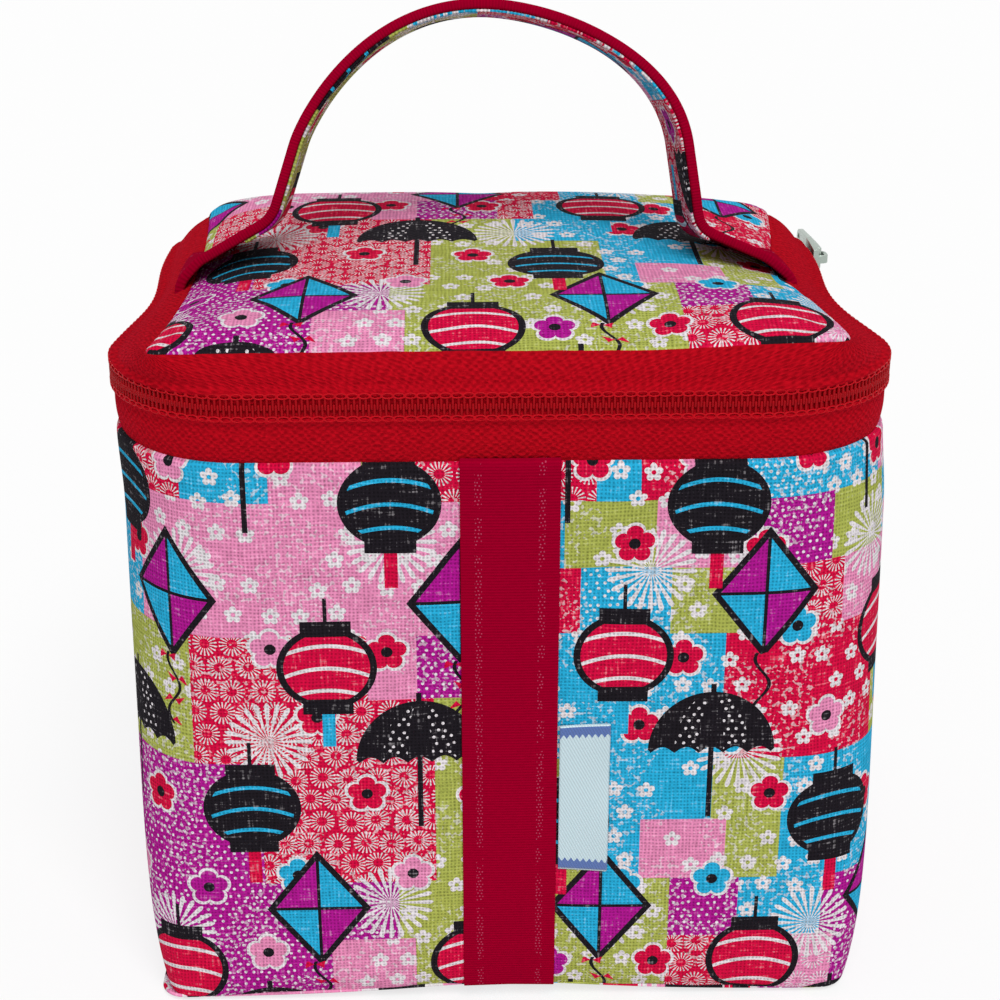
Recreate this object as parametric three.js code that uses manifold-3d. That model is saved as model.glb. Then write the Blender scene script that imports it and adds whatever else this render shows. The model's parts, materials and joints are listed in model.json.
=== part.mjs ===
// A soft vanity bag: a padded canvas box with a zipped lid, a cloth hinge and a strap handle.
// Millimetres, +Z up, the front faces -Y, and the origin is the middle of the flat base.

import * as THREE from 'three';
import { mergeVertices } from 'three/addons/utils/BufferGeometryUtils.js';
import Module from 'manifold-3d';

const wasm = await Module();
wasm.setup();

// Body, at the outer face of the canvas
const bodyHeight = 164;
const baseHalfWidth = 94.5;
const baseHalfDepth = 68.5;
const baseCornerRadius = 12;
const topHalfWidth = 101;
const topHalfDepth = 72;
const frontCornerRadius = 38;
const backCornerRadius = 13;
const wallBulge = 1.8;
const sideTaper = 5;

// Cloth layers, from the outside in
const canvas = 1;
const padding = 4;
const lining = 0.8;
const baseCanvas = 1.2;
const basePadding = 3;
const clearance = 0.3;

// Ribbon and label on the front
const ribbonWidth = 25;
const ribbonOffset = 2.6;
const ribbonThickness = 0.8;
const labelWidth = 12.6;
const labelHeight = 43;
const labelBottom = 48;
const labelThickness = 0.8;
const labelSwingRoom = 0.9;

// Zip: two tapes and two rows of teeth that mesh
const lowerTapeHeight = 10.15;
const tapeThickness = 1.2;
const coilBandHeight = 1.6;
const coilToothHeight = 1.75;
const coilToothPitch = 3.6;
const coilToothGap = 0.35;
const coilProud = 0.9;
const coilDepth = 2.5;
const zipEndTurn = THREE.MathUtils.degToRad(20);

// Lid, at the seam between the tape and the printed top
const lidSeamRise = 8.9;
const lidSeamInsetSide = 14.5;
const lidSeamInsetFront = 4;
const lidSeamFrontRadius = 8;
const lidCrown = 8;
const lidPaddingInset = 2;

// Handle strap
const strapWidth = 25;
const strapRibbon = 2;
const strapLining = 1.8;
const strapPivotHalfSpan = 54.5;
const strapPivotRise = 21.5;
const strapPivotSlope = THREE.MathUtils.degToRad(66);
const strapLean = THREE.MathUtils.degToRad(12);
const archHalfWidth = 49.4;
const archSpringRise = 15;
const archHeight = 32.5;
const archFullness = 0.45;
const strapEndInset = 0.5;
const strapEndLean = 1.1;
const strapKink = 8.5;

// Slider and pull
const sliderLength = 14;
const sliderWideEnd = 11;
const sliderNarrowEnd = 8.4;
const sliderPlate = 1.6;
const sliderSetback = 2;
const sliderArchWidth = 2.4;
const sliderArchWall = 1.2;
const pullLength = 26;
const pullWidth = 6.4;
const pullTaper = 0.8;
const pullThickness = 1.4;
const pullBar = 2;

// Facets
const cornerSteps = 6;
const wallLevels = [0, 0.06, 0.2, 0.35, 0.5, 0.65, 0.8, 0.9, 1];
const bandLevels = [0, 0.4, 0.75, 1];
const domeRings = [1, 0.82, 0.56, 0.28];
const legSteps = 4;
const archSteps = 7;

// Places worked out from the sizes above
const lowerTapeBottom = bodyHeight + clearance;
const lowerCoilBottom = lowerTapeBottom + lowerTapeHeight + clearance;
const lowerCoilGum = lowerCoilBottom + coilBandHeight;
const upperCoilTip = lowerCoilGum + clearance;
const lowerCoilTip = lowerCoilGum + coilToothHeight;
const upperCoilGum = upperCoilTip + coilToothHeight;
const upperCoilTop = upperCoilGum + coilBandHeight;
const zipMiddle = (lowerCoilBottom + upperCoilTop) / 2;
const upperTapeBottom = upperCoilTop + clearance;
const lidSeam = upperTapeBottom + lidSeamRise;
const lidEdge = lidSeam + clearance;
const strapThickness = strapRibbon + clearance + strapLining;
const strapPivot = new THREE.Vector2(strapPivotHalfSpan, lidEdge + strapPivotRise);

// Sections of the bag, seen from above

// taper is how far each side has drawn in when it reaches the back corner.
const topSection = {
  w: topHalfWidth,
  d: topHalfDepth,
  rFront: frontCornerRadius,
  rBack: backCornerRadius,
  taper: sideTaper,
};

const seamSection = {
  w: topHalfWidth - lidSeamInsetSide,
  d: topHalfDepth - lidSeamInsetFront,
  rFront: lidSeamFrontRadius,
  rBack: Math.max(backCornerRadius - lidSeamInsetFront, canvas),
  taper: 0,
};

function mixSections(a, b, t) {
  const mixed = {};
  for (const key of Object.keys(a)) {
    mixed[key] = THREE.MathUtils.lerp(a[key], b[key], t);
  }
  return mixed;
}

function inset(section, amount) {
  const { w, d, rFront, rBack, taper } = section;
  return {
    w: w - amount,
    d: d - amount,
    rFront: Math.max(rFront - amount, clearance),
    rBack: Math.max(rBack - amount, clearance),
    taper,
  };
}

// The wall swells quickly above the square base and turns into the round-cornered top.
function bodySection(z) {
  const t = z / bodyHeight;
  const swell = 1 - (1 - t) ** 4;
  const bulge = wallBulge * Math.sin(Math.PI * t);
  return {
    w: THREE.MathUtils.lerp(baseHalfWidth, topHalfWidth, swell) + bulge,
    d: THREE.MathUtils.lerp(baseHalfDepth, topHalfDepth, swell) + bulge,
    rFront: THREE.MathUtils.lerp(baseCornerRadius, frontCornerRadius, t),
    rBack: THREE.MathUtils.lerp(baseCornerRadius, backCornerRadius, t),
    taper: sideTaper * t,
  };
}

// Runs of points along a section

function cornerArc(cx, cy, r, startAngle, sweep = Math.PI / 2) {
  const points = [];
  for (let k = 0; k <= cornerSteps; k += 1) {
    const angle = startAngle - (k / cornerSteps) * sweep;
    points.push(new THREE.Vector2(cx + r * Math.cos(angle), cy + r * Math.sin(angle)));
  }
  return points;
}

// The sides draw in from the front corners to the back corners.
const taperStart = frontCornerRadius - topHalfDepth;
const taperEnd = topHalfDepth - backCornerRadius;

function tapered(points, taper) {
  return points.map((p) => {
    const along = THREE.MathUtils.inverseLerp(taperStart, taperEnd, p.y);
    const share = THREE.MathUtils.clamp(along, 0, 1);
    return new THREE.Vector2(p.x - Math.sign(p.x) * taper * share, p.y);
  });
}

function squareFront(w, d, r, startY) {
  return [
    new THREE.Vector2(w, startY),
    ...cornerArc(w - r, r - d, r, 0),
    ...cornerArc(r - w, r - d, r, -Math.PI / 2),
    new THREE.Vector2(-w, startY),
  ];
}

// From the right side at startY, round the front, to the left side at startY
function frontRun(startY) {
  return ({ w, d, rFront, taper }) => tapered(squareFront(w, d, rFront, startY), taper);
}

// From the right side at startY, round the back, to the left side at startY
function backRun(startY) {
  return ({ w, d, rBack, taper }) => {
    const points = squareFront(w, d, rBack, -startY);
    return tapered(points.map((p) => new THREE.Vector2(p.x, -p.y)), taper);
  };
}

// Along the zip: from its right end, just round the back corner, past the front, to its left end
function zipRun({ w, d, rFront, rBack, taper }) {
  return tapered([
    ...cornerArc(w - rBack, d - rBack, rBack, zipEndTurn, zipEndTurn),
    ...cornerArc(w - rFront, rFront - d, rFront, 0),
    ...cornerArc(rFront - w, rFront - d, rFront, -Math.PI / 2),
    ...cornerArc(rBack - w, d - rBack, rBack, -Math.PI, zipEndTurn),
  ], taper);
}

// Across the back, from the right end of the zip to its left end
function hingeRun({ w, d, rBack, taper }) {
  const start = zipEndTurn + clearance / seamSection.rBack;
  const sweep = Math.PI / 2 - start;
  return tapered([
    ...cornerArc(w - rBack, d - rBack, rBack, start, -sweep),
    ...cornerArc(rBack - w, d - rBack, rBack, Math.PI / 2, -sweep),
  ], taper);
}

// The whole section as a closed ring
function fullRing(section) {
  const front = frontRun(0)(section);
  const back = backRun(0)(section);
  return [...front.slice(0, -1), ...back.slice(1).reverse()];
}

function rowsAlong(levels, run, amount) {
  return levels.map(({ z, section }) => run(inset(section, amount))
    .map((p) => new THREE.Vector3(p.x, p.y, z)));
}

function bodyLevels(bottom, top) {
  return wallLevels.map((t) => {
    const z = THREE.MathUtils.lerp(bottom, top, t);
    return { z, section: bodySection(z) };
  });
}

// The band above the zip leans in ever faster on its way to the lid's seam.
function lidBandLevels(bottom, top) {
  return bandLevels.map((t) => {
    const z = THREE.MathUtils.lerp(bottom, top, t);
    const lean = Math.max((z - upperTapeBottom) / (lidSeam - upperTapeBottom), 0) ** 2;
    return { z, section: mixSections(topSection, seamSection, lean) };
  });
}

function uprightLevels(bottom, top) {
  return [bottom, top].map((z) => ({ z, section: topSection }));
}

// Closed solids from points and triangles

function signedVolume(points, triangles) {
  let total = 0;
  for (const [a, b, c] of triangles) {
    total += points[a].dot(new THREE.Vector3().crossVectors(points[b], points[c]));
  }
  return total / 6;
}

function solid(points, triangles) {
  const outward = signedVolume(points, triangles) > 0;
  const facing = outward ? triangles : triangles.map(([a, b, c]) => [a, c, b]);
  const geometry = new THREE.BufferGeometry().setFromPoints(points);
  geometry.setIndex(facing.flat());
  const merged = mergeVertices(geometry);
  merged.computeVertexNormals();
  return merged;
}

function quad(a, b, c, d) {
  return [[a, b, c], [a, c, d]];
}

// A wall between two grids of points: rows go up, and columns go along the run.
function wallSolid(outerRows, innerRows, isRing = false) {
  const rows = outerRows.length;
  const columns = outerRows[0].length;
  const points = [...outerRows.flat(), ...innerRows.flat()];
  const outer = (j, i) => j * columns + (i % columns);
  const inner = (j, i) => rows * columns + outer(j, i);
  const spans = isRing ? columns : columns - 1;
  const triangles = [];
  for (let i = 0; i < spans; i += 1) {
    for (let j = 0; j < rows - 1; j += 1) {
      triangles.push(...quad(outer(j, i), outer(j, i + 1), outer(j + 1, i + 1), outer(j + 1, i)));
      triangles.push(...quad(inner(j, i), inner(j + 1, i), inner(j + 1, i + 1), inner(j, i + 1)));
    }
    const top = rows - 1;
    triangles.push(...quad(outer(top, i), outer(top, i + 1), inner(top, i + 1), inner(top, i)));
    triangles.push(...quad(outer(0, i), inner(0, i), inner(0, i + 1), outer(0, i + 1)));
  }
  if (!isRing) {
    const last = columns - 1;
    for (let j = 0; j < rows - 1; j += 1) {
      triangles.push(...quad(outer(j, 0), outer(j + 1, 0), inner(j + 1, 0), inner(j, 0)));
      triangles.push(...quad(outer(j, last), inner(j, last), inner(j + 1, last), outer(j + 1, last)));
    }
  }
  return solid(points, triangles);
}

function clothWall(levels, run, outerInset, thickness, isRing = false) {
  const outerRows = rowsAlong(levels, run, outerInset);
  const innerRows = rowsAlong(levels, run, outerInset + thickness);
  return wallSolid(outerRows, innerRows, isRing);
}

function flatPlate(section, bottom, thickness) {
  const shape = new THREE.Shape(fullRing(section));
  const geometry = new THREE.ExtrudeGeometry(shape, { depth: thickness, bevelEnabled: false });
  return geometry.translate(0, 0, bottom);
}

// A crowned sheet: rings of the section shrink to its middle as the sheet rises.
function domeSolid(section, edgeTop, crown, thickness) {
  const ring = fullRing(section);
  const count = ring.length;
  const points = [];
  for (const drop of [0, thickness]) {
    for (const scale of domeRings) {
      const z = edgeTop + crown * (1 - scale ** 3) - drop;
      points.push(...ring.map((p) => new THREE.Vector3(p.x * scale, p.y * scale, z)));
    }
    points.push(new THREE.Vector3(0, 0, edgeTop + crown - drop));
  }
  const perSheet = domeRings.length * count + 1;
  const at = (sheet, j, i) => sheet * perSheet + j * count + (i % count);
  const middle = (sheet) => (sheet + 1) * perSheet - 1;
  const innermost = domeRings.length - 1;
  const triangles = [];
  for (let i = 0; i < count; i += 1) {
    for (let j = 0; j < innermost; j += 1) {
      triangles.push(...quad(at(0, j, i), at(0, j + 1, i), at(0, j + 1, i + 1), at(0, j, i + 1)));
      triangles.push(...quad(at(1, j, i), at(1, j, i + 1), at(1, j + 1, i + 1), at(1, j + 1, i)));
    }
    triangles.push([at(0, innermost, i), middle(0), at(0, innermost, i + 1)]);
    triangles.push([at(1, innermost, i), at(1, innermost, i + 1), middle(1)]);
    triangles.push(...quad(at(0, 0, i), at(0, 0, i + 1), at(1, 0, i + 1), at(1, 0, i)));
  }
  return solid(points, triangles);
}

// Joins closed geometries into one body.
function join(geometries) {
  const bodies = geometries.map((geometry) => {
    const bare = geometry.clone();
    bare.deleteAttribute('normal');
    bare.deleteAttribute('uv');
    const merged = mergeVertices(bare);
    const vertProperties = new Float32Array(merged.attributes.position.array);
    const triVerts = new Uint32Array(merged.index.array);
    return new wasm.Manifold(new wasm.Mesh({ numProp: 3, vertProperties, triVerts }));
  });
  const mesh = bodies.reduce((a, b) => a.add(b)).getMesh();
  const joined = new THREE.BufferGeometry();
  joined.setAttribute('position', new THREE.BufferAttribute(mesh.vertProperties, 3));
  joined.setIndex(new THREE.BufferAttribute(mesh.triVerts, 1));
  joined.computeVertexNormals();
  return joined;
}

// Materials

function cloth(color) {
  return new THREE.MeshStandardMaterial({ color, roughness: 0.9, metalness: 0 });
}

const printedCanvas = cloth(0xdd4a86);
const wadding = cloth(0xf2f0ea);
const liningCloth = cloth(0xf3dfe4);
const redTape = cloth(0xb5121f);
const redRibbon = cloth(0xa5082c);
const labelSatin = new THREE.MeshStandardMaterial({ color: 0xd5e5ee, roughness: 0.5, metalness: 0 });
const redNylon = new THREE.MeshStandardMaterial({ color: 0xa00d18, roughness: 0.45, metalness: 0 });
const castZinc = new THREE.MeshStandardMaterial({ color: 0xc9d3d0, roughness: 0.3, metalness: 1 });

function piece(name, geometry, material) {
  const mesh = new THREE.Mesh(geometry, material);
  mesh.name = name;
  return mesh;
}

// Body

function bodyWalls() {
  const group = new THREE.Group();
  const seam = clearance / 2;
  const wallBottom = baseCanvas + clearance;
  const canvasLevels = bodyLevels(wallBottom, bodyHeight);
  const paddingInset = canvas + clearance;
  const paddingBottom = wallBottom + basePadding + clearance;
  const paddingLevels = bodyLevels(paddingBottom, bodyHeight);
  const liningInset = paddingInset + padding + clearance;
  const liningLevels = bodyLevels(paddingBottom + lining + clearance, bodyHeight);
  group.add(
    piece('front_panel', clothWall(canvasLevels, frontRun(-seam), 0, canvas), printedCanvas),
    piece('back_panel', clothWall(canvasLevels, backRun(seam), 0, canvas), printedCanvas),
    piece('front_padding', clothWall(paddingLevels, frontRun(-seam), paddingInset, padding), wadding),
    piece('back_padding', clothWall(paddingLevels, backRun(seam), paddingInset, padding), wadding),
    piece('body_lining', clothWall(liningLevels, fullRing, liningInset, lining, true), liningCloth),
    piece('base_panel', flatPlate(bodySection(0), 0, baseCanvas), printedCanvas),
    piece('base_padding', flatPlate(inset(bodySection(0), paddingInset), wallBottom, basePadding), wadding),
    piece('base_lining', flatPlate(inset(bodySection(0), liningInset), paddingBottom, lining), liningCloth),
  );
  return group;
}

// A strip that lies on the front canvas and follows its swell
function frontStrip(left, right, bottom, top, thickness) {
  const rows = (stand) => wallLevels.map((t) => {
    const z = THREE.MathUtils.lerp(bottom, top, t);
    const y = -bodySection(z).d - stand;
    return [new THREE.Vector3(left, y, z), new THREE.Vector3(right, y, z)];
  });
  return wallSolid(rows(clearance + thickness), rows(clearance));
}

function frontTrim() {
  const group = new THREE.Group();
  const ribbonLeft = ribbonOffset - ribbonWidth / 2;
  const ribbonRight = ribbonOffset + ribbonWidth / 2;
  const ribbonBottom = baseCanvas + clearance;
  const labelLeft = ribbonRight + labelSwingRoom;
  const labelRight = labelLeft + labelWidth;
  const labelTop = labelBottom + labelHeight;
  group.add(
    piece(
      'front_ribbon',
      frontStrip(ribbonLeft, ribbonRight, ribbonBottom, bodyHeight, ribbonThickness),
      redRibbon,
    ),
    piece(
      'woven_label',
      frontStrip(labelLeft, labelRight, labelBottom, labelTop, labelThickness),
      labelSatin,
    ),
  );
  return group;
}

// Zip

// The line that the teeth follow, from the right end of the zip to the left
function zipPath() {
  const { w, d, rFront: r, rBack, taper } = topSection;
  const path = new THREE.Path();
  path.absarc(w - taper - rBack, d - rBack, rBack, zipEndTurn, 0, true);
  path.lineTo(w, r - d);
  path.absarc(w - r, r - d, r, 0, -Math.PI / 2, true);
  path.lineTo(r - w, -d);
  path.absarc(r - w, r - d, r, -Math.PI / 2, -Math.PI, true);
  path.lineTo(taper - w, d - rBack);
  path.absarc(rBack + taper - w, d - rBack, rBack, -Math.PI, -Math.PI - zipEndTurn, true);
  return path;
}

// A row of teeth: a band along the path, with a tooth standing on it once per pitch.
function coilSolid(baseZ, gumZ, tipZ, firstTooth) {
  const path = zipPath();
  const length = path.getLength();
  const toothWidth = coilToothPitch / 2 - coilToothGap;
  const stations = [0];
  for (let s = firstTooth; s + coilToothPitch < length; s += coilToothPitch) {
    stations.push(s, s + toothWidth);
  }
  stations.push(length);

  const points = [];
  for (const s of stations) {
    const place = path.getPointAt(s / length);
    const along = path.getTangentAt(s / length);
    const outward = new THREE.Vector2(-along.y, along.x);
    for (const stand of [coilProud, coilProud - coilDepth]) {
      const p = place.clone().addScaledVector(outward, stand);
      points.push(...[baseZ, gumZ, tipZ].map((z) => new THREE.Vector3(p.x, p.y, z)));
    }
  }
  const outer = (k, level) => k * 6 + level;
  const inner = (k, level) => k * 6 + 3 + level;
  const last = stations.length - 1;
  const triangles = [
    ...quad(outer(0, 0), inner(0, 0), inner(0, 1), outer(0, 1)),
    ...quad(outer(last, 0), outer(last, 1), inner(last, 1), inner(last, 0)),
  ];
  for (let k = 0; k < last; k += 1) {
    const isTooth = k % 2 === 1;
    const top = isTooth ? 2 : 1;
    triangles.push(...quad(outer(k, 0), outer(k + 1, 0), inner(k + 1, 0), inner(k, 0)));
    triangles.push(...quad(outer(k, top), inner(k, top), inner(k + 1, top), outer(k + 1, top)));
    for (let level = 0; level < top; level += 1) {
      const up = level + 1;
      triangles.push(...quad(outer(k, level), outer(k, up), outer(k + 1, up), outer(k + 1, level)));
      triangles.push(...quad(inner(k, level), inner(k + 1, level), inner(k + 1, up), inner(k, up)));
    }
    if (isTooth) {
      triangles.push(...quad(outer(k, 1), inner(k, 1), inner(k, 2), outer(k, 2)));
      triangles.push(...quad(outer(k + 1, 1), outer(k + 1, 2), inner(k + 1, 2), inner(k + 1, 1)));
    }
  }
  return solid(points, triangles);
}

function lowerZip() {
  const group = new THREE.Group();
  const tapeTop = lowerTapeBottom + lowerTapeHeight;
  const tapeLevels = uprightLevels(lowerTapeBottom, tapeTop);
  const stripLevels = uprightLevels(lowerTapeBottom, zipMiddle - clearance / 2);
  const coil = coilSolid(lowerCoilBottom, lowerCoilGum, lowerCoilTip, coilToothPitch);
  group.add(
    piece('lower_zip_tape', clothWall(tapeLevels, zipRun, 0, tapeThickness), redTape),
    piece('lower_zip_coil', coil, redNylon),
    piece('lower_hinge_strip', clothWall(stripLevels, hingeRun, 0, tapeThickness), redTape),
  );
  return group;
}

function upperZip() {
  const group = new THREE.Group();
  const tapeLevels = lidBandLevels(upperTapeBottom, lidSeam);
  const stripLevels = lidBandLevels(zipMiddle + clearance / 2, lidSeam);
  const coil = coilSolid(upperCoilTop, upperCoilGum, upperCoilTip, coilToothPitch / 2);
  group.add(
    piece('upper_zip_tape', clothWall(tapeLevels, zipRun, 0, tapeThickness), redTape),
    piece('upper_zip_coil', coil, redNylon),
    piece('upper_hinge_strip', clothWall(stripLevels, hingeRun, 0, tapeThickness), redTape),
  );
  return group;
}

// Lid

function lidTop() {
  const group = new THREE.Group();
  const canvasTop = lidEdge + canvas;
  const paddingTop = lidEdge - clearance;
  const liningTop = paddingTop - padding - clearance;
  const innerSection = inset(seamSection, lidPaddingInset);
  group.add(
    piece('lid_panel', domeSolid(seamSection, canvasTop, lidCrown, canvas), printedCanvas),
    piece('lid_padding', domeSolid(innerSection, paddingTop, lidCrown, padding), wadding),
    piece('lid_lining', domeSolid(innerSection, liningTop, lidCrown, lining), liningCloth),
  );
  return group;
}

// Handle

// A strap along a line in the XZ plane, between two offsets from that line, as wide as the strap.
// Its two ends are cut upright.
function strapSolid(line, innerOffset, outerOffset) {
  const last = line.length - 1;
  const normals = line.map(({ along }, k) => {
    const normal = new THREE.Vector2(-along.y, along.x).normalize();
    const isEnd = k === 0 || k === last;
    return isEnd ? new THREE.Vector2(0, 1 / normal.y) : normal;
  });
  const rows = (offset) => line.map(({ place }, k) => {
    const p = place.clone().addScaledVector(normals[k], offset);
    return [-1, 1].map((side) => new THREE.Vector3(p.x, side * strapWidth / 2, p.y));
  });
  return wallSolid(rows(outerOffset), rows(innerOffset));
}

function linePoints(curve, steps) {
  const points = [];
  for (let k = 0; k <= steps; k += 1) {
    points.push({ place: curve.getPoint(k / steps), along: curve.getTangent(k / steps) });
  }
  return points;
}

// Each leg leaves its pivot steeply and turns upright, and an arch with soft shoulders joins the two.
// The line runs from the left pivot to the right one, so that its left side is the outer face.
function archLine() {
  const start = new THREE.Vector2(clearance / 2 - strapPivot.x, strapPivot.y);
  const spring = new THREE.Vector2(-archHalfWidth, strapPivot.y + archSpringRise);
  const legTurn = (-archHalfWidth - start.x) * Math.tan(strapPivotSlope);
  const turn = new THREE.Vector2(-archHalfWidth, start.y + legTurn);
  const crown = new THREE.Vector2(0, spring.y + archHeight);
  const rising = new THREE.Vector2(spring.x, spring.y + archFullness * archHeight);
  const levelling = new THREE.Vector2(-archFullness * archHalfWidth, crown.y);
  const leg = linePoints(new THREE.QuadraticBezierCurve(start, turn, spring), legSteps);
  const shoulder = linePoints(new THREE.CubicBezierCurve(spring, rising, levelling, crown), archSteps);
  const leftHalf = [...leg.slice(0, -1), ...shoulder];
  const rightHalf = leftHalf.map(({ place, along }) => ({
    place: new THREE.Vector2(-place.x, place.y),
    along: new THREE.Vector2(along.x, -along.y),
  })).reverse();
  return [...leftHalf, ...rightHalf.slice(1)];
}

// The end of the strap rises from the lid's side seam, turns up in a kink and ends at the pivot.
function strapEndLine() {
  const rise = lidEdge + canvas + clearance + strapEndLean * strapThickness / 2;
  const start = new THREE.Vector2(strapEndInset - seamSection.w, rise);
  const end = new THREE.Vector2(-strapPivot.x - clearance / 2, strapPivot.y);
  const kink = new THREE.Vector2(Math.cos(strapPivotSlope), Math.sin(strapPivotSlope));
  const turn = end.clone().addScaledVector(kink, -strapKink);
  return linePoints(new THREE.QuadraticBezierCurve(start, turn, end), legSteps);
}

// At rest the handle leans a little to the back.
function leaned(geometry) {
  geometry.translate(0, 0, -strapPivot.y);
  geometry.rotateX(-strapLean);
  geometry.translate(0, 0, strapPivot.y);
  return geometry;
}

function handleStrap() {
  const group = new THREE.Group();
  const line = archLine();
  const inner = -strapThickness / 2;
  const outer = strapThickness / 2;
  const endLeft = strapSolid(strapEndLine(), inner, outer);
  const endRight = endLeft.clone().rotateZ(Math.PI);
  group.add(
    piece('handle_ribbon', leaned(strapSolid(line, outer - strapRibbon, outer)), redRibbon),
    piece('handle_lining', leaned(strapSolid(line, inner, inner + strapLining)), printedCanvas),
    piece('strap_end_left', endLeft, redRibbon),
    piece('strap_end_right', endRight, redRibbon),
  );
  return group;
}

// Slider and pull, drawn flat with X along the zip, Y across it and Z away from the bag

const sliderArchInside = pullBar + 4 * clearance;
const pullAxis = sliderPlate + clearance + Math.hypot(pullBar, pullThickness) / 2;
const sliderArchReach = sliderArchInside / 2 + clearance + sliderArchWall;
const pullEyeReach = Math.hypot(sliderArchReach, pullAxis) + clearance;

function sliderSolid() {
  const half = sliderLength / 2;
  const plate = new THREE.Shape();
  plate.moveTo(-half, -sliderNarrowEnd / 2);
  plate.lineTo(half / 2, -sliderWideEnd / 2);
  plate.quadraticCurveTo(half, -sliderWideEnd / 2, half, -sliderWideEnd / 4);
  plate.lineTo(half, sliderWideEnd / 4);
  plate.quadraticCurveTo(half, sliderWideEnd / 2, half / 2, sliderWideEnd / 2);
  plate.lineTo(-half, sliderNarrowEnd / 2);
  const plateSolid = new THREE.ExtrudeGeometry(plate, {
    depth: sliderPlate, bevelEnabled: false, curveSegments: 4,
  });

  const hole = sliderArchInside / 2 + clearance;
  const crest = pullAxis + Math.hypot(pullBar, pullThickness) / 2 + clearance;
  const foot = sliderPlate - clearance;
  const arch = new THREE.Shape();
  arch.moveTo(-sliderArchReach, foot);
  arch.lineTo(-sliderArchReach, pullAxis);
  arch.quadraticCurveTo(-sliderArchReach, crest + sliderArchWall, -hole / 2, crest + sliderArchWall);
  arch.lineTo(hole / 2, crest + sliderArchWall);
  arch.quadraticCurveTo(sliderArchReach, crest + sliderArchWall, sliderArchReach, pullAxis);
  arch.lineTo(sliderArchReach, foot);
  arch.lineTo(hole, foot);
  arch.lineTo(hole, crest);
  arch.lineTo(-hole, crest);
  arch.lineTo(-hole, foot);
  const archSolid = new THREE.ExtrudeGeometry(arch, {
    depth: sliderArchWidth, bevelEnabled: false, curveSegments: 4,
  });
  archSolid.rotateX(Math.PI / 2);
  archSolid.translate(0, sliderArchWidth / 2, 0);
  return join([plateSolid, archSolid]);
}

// The pull's eye goes round the slider's arch, and its end bar is trapped under it.
function pullSolid() {
  const half = pullWidth / 2;
  const tipHalf = half * pullTaper;
  const eyeHalf = sliderArchWidth / 2 + 2 * clearance;
  const outline = new THREE.Shape();
  outline.moveTo(-pullBar / 2, -half);
  outline.lineTo(pullEyeReach + pullBar, -half);
  outline.lineTo(pullLength - tipHalf, -tipHalf);
  outline.absarc(pullLength - tipHalf, 0, tipHalf, -Math.PI / 2, Math.PI / 2, false);
  outline.lineTo(pullEyeReach + pullBar, half);
  outline.lineTo(-pullBar / 2, half);
  const eye = new THREE.Path();
  eye.moveTo(pullBar / 2, -eyeHalf);
  eye.lineTo(pullEyeReach, -eyeHalf);
  eye.lineTo(pullEyeReach, eyeHalf);
  eye.lineTo(pullBar / 2, eyeHalf);
  const tipHole = new THREE.Path();
  tipHole.absarc(pullLength - tipHalf, 0, tipHalf / 2, 0, Math.PI * 2, false);
  outline.holes.push(eye, tipHole);
  const geometry = new THREE.ExtrudeGeometry(outline, {
    depth: pullThickness, bevelEnabled: false, curveSegments: 6,
  });
  return geometry.translate(0, 0, pullAxis - pullThickness / 2);
}

// The slider is parked at the right end of the zip, on the outer face of the teeth.
function zipSlider() {
  const upright = new THREE.Group();
  upright.add(
    piece('zip_slider', sliderSolid(), castZinc),
    piece('zip_pull', pullSolid(), castZinc),
  );
  upright.rotation.set(Math.PI / 2, Math.PI / 2, 0);
  upright.position.x = coilProud + clearance;
  const parked = new THREE.Vector2(topHalfWidth, taperEnd - sliderSetback);
  const [onZip] = tapered([parked], sideTaper);
  const group = new THREE.Group();
  group.add(upright);
  group.rotation.z = Math.atan2(sideTaper, taperEnd - taperStart);
  group.position.set(onZip.x, onZip.y, zipMiddle);
  return group;
}

const vanityBag = new THREE.Group();
vanityBag.add(bodyWalls(), frontTrim(), lowerZip(), upperZip(), lidTop(), handleStrap(), zipSlider());

export default vanityBag;
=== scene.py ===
"""A soft vanity bag of printed canvas, with a red zip round its front and sides and a ribbon handle."""

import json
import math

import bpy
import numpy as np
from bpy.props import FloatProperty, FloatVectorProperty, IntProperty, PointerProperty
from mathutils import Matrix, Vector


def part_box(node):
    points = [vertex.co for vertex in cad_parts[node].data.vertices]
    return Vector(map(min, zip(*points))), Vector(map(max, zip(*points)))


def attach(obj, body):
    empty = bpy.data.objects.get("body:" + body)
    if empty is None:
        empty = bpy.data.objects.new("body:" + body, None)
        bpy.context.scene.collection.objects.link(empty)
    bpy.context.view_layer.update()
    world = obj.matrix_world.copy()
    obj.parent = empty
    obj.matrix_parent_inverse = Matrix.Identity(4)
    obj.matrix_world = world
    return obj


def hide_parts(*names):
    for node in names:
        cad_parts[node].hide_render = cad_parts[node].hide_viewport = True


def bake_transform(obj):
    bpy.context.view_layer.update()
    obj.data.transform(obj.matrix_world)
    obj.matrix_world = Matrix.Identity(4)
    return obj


bl_info = {
    "name": "Vanity bag",
    "version": (1, 0, 0),
    "blender": (4, 5, 0),
    "location": "3D View > Sidebar > Vanity bag",
    "description": "Sews a soft vanity bag round its packed frame, and lights it",
    "category": "Object",
}

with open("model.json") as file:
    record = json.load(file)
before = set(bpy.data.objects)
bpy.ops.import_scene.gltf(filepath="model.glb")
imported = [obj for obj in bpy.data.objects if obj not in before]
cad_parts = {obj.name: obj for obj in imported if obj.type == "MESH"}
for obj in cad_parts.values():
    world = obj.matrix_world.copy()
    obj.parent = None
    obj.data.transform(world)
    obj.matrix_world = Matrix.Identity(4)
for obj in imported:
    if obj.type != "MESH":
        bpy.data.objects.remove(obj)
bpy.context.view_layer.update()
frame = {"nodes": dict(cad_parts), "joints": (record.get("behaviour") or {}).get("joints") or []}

MM = 0.001
QUARTER = math.pi / 2

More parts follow.
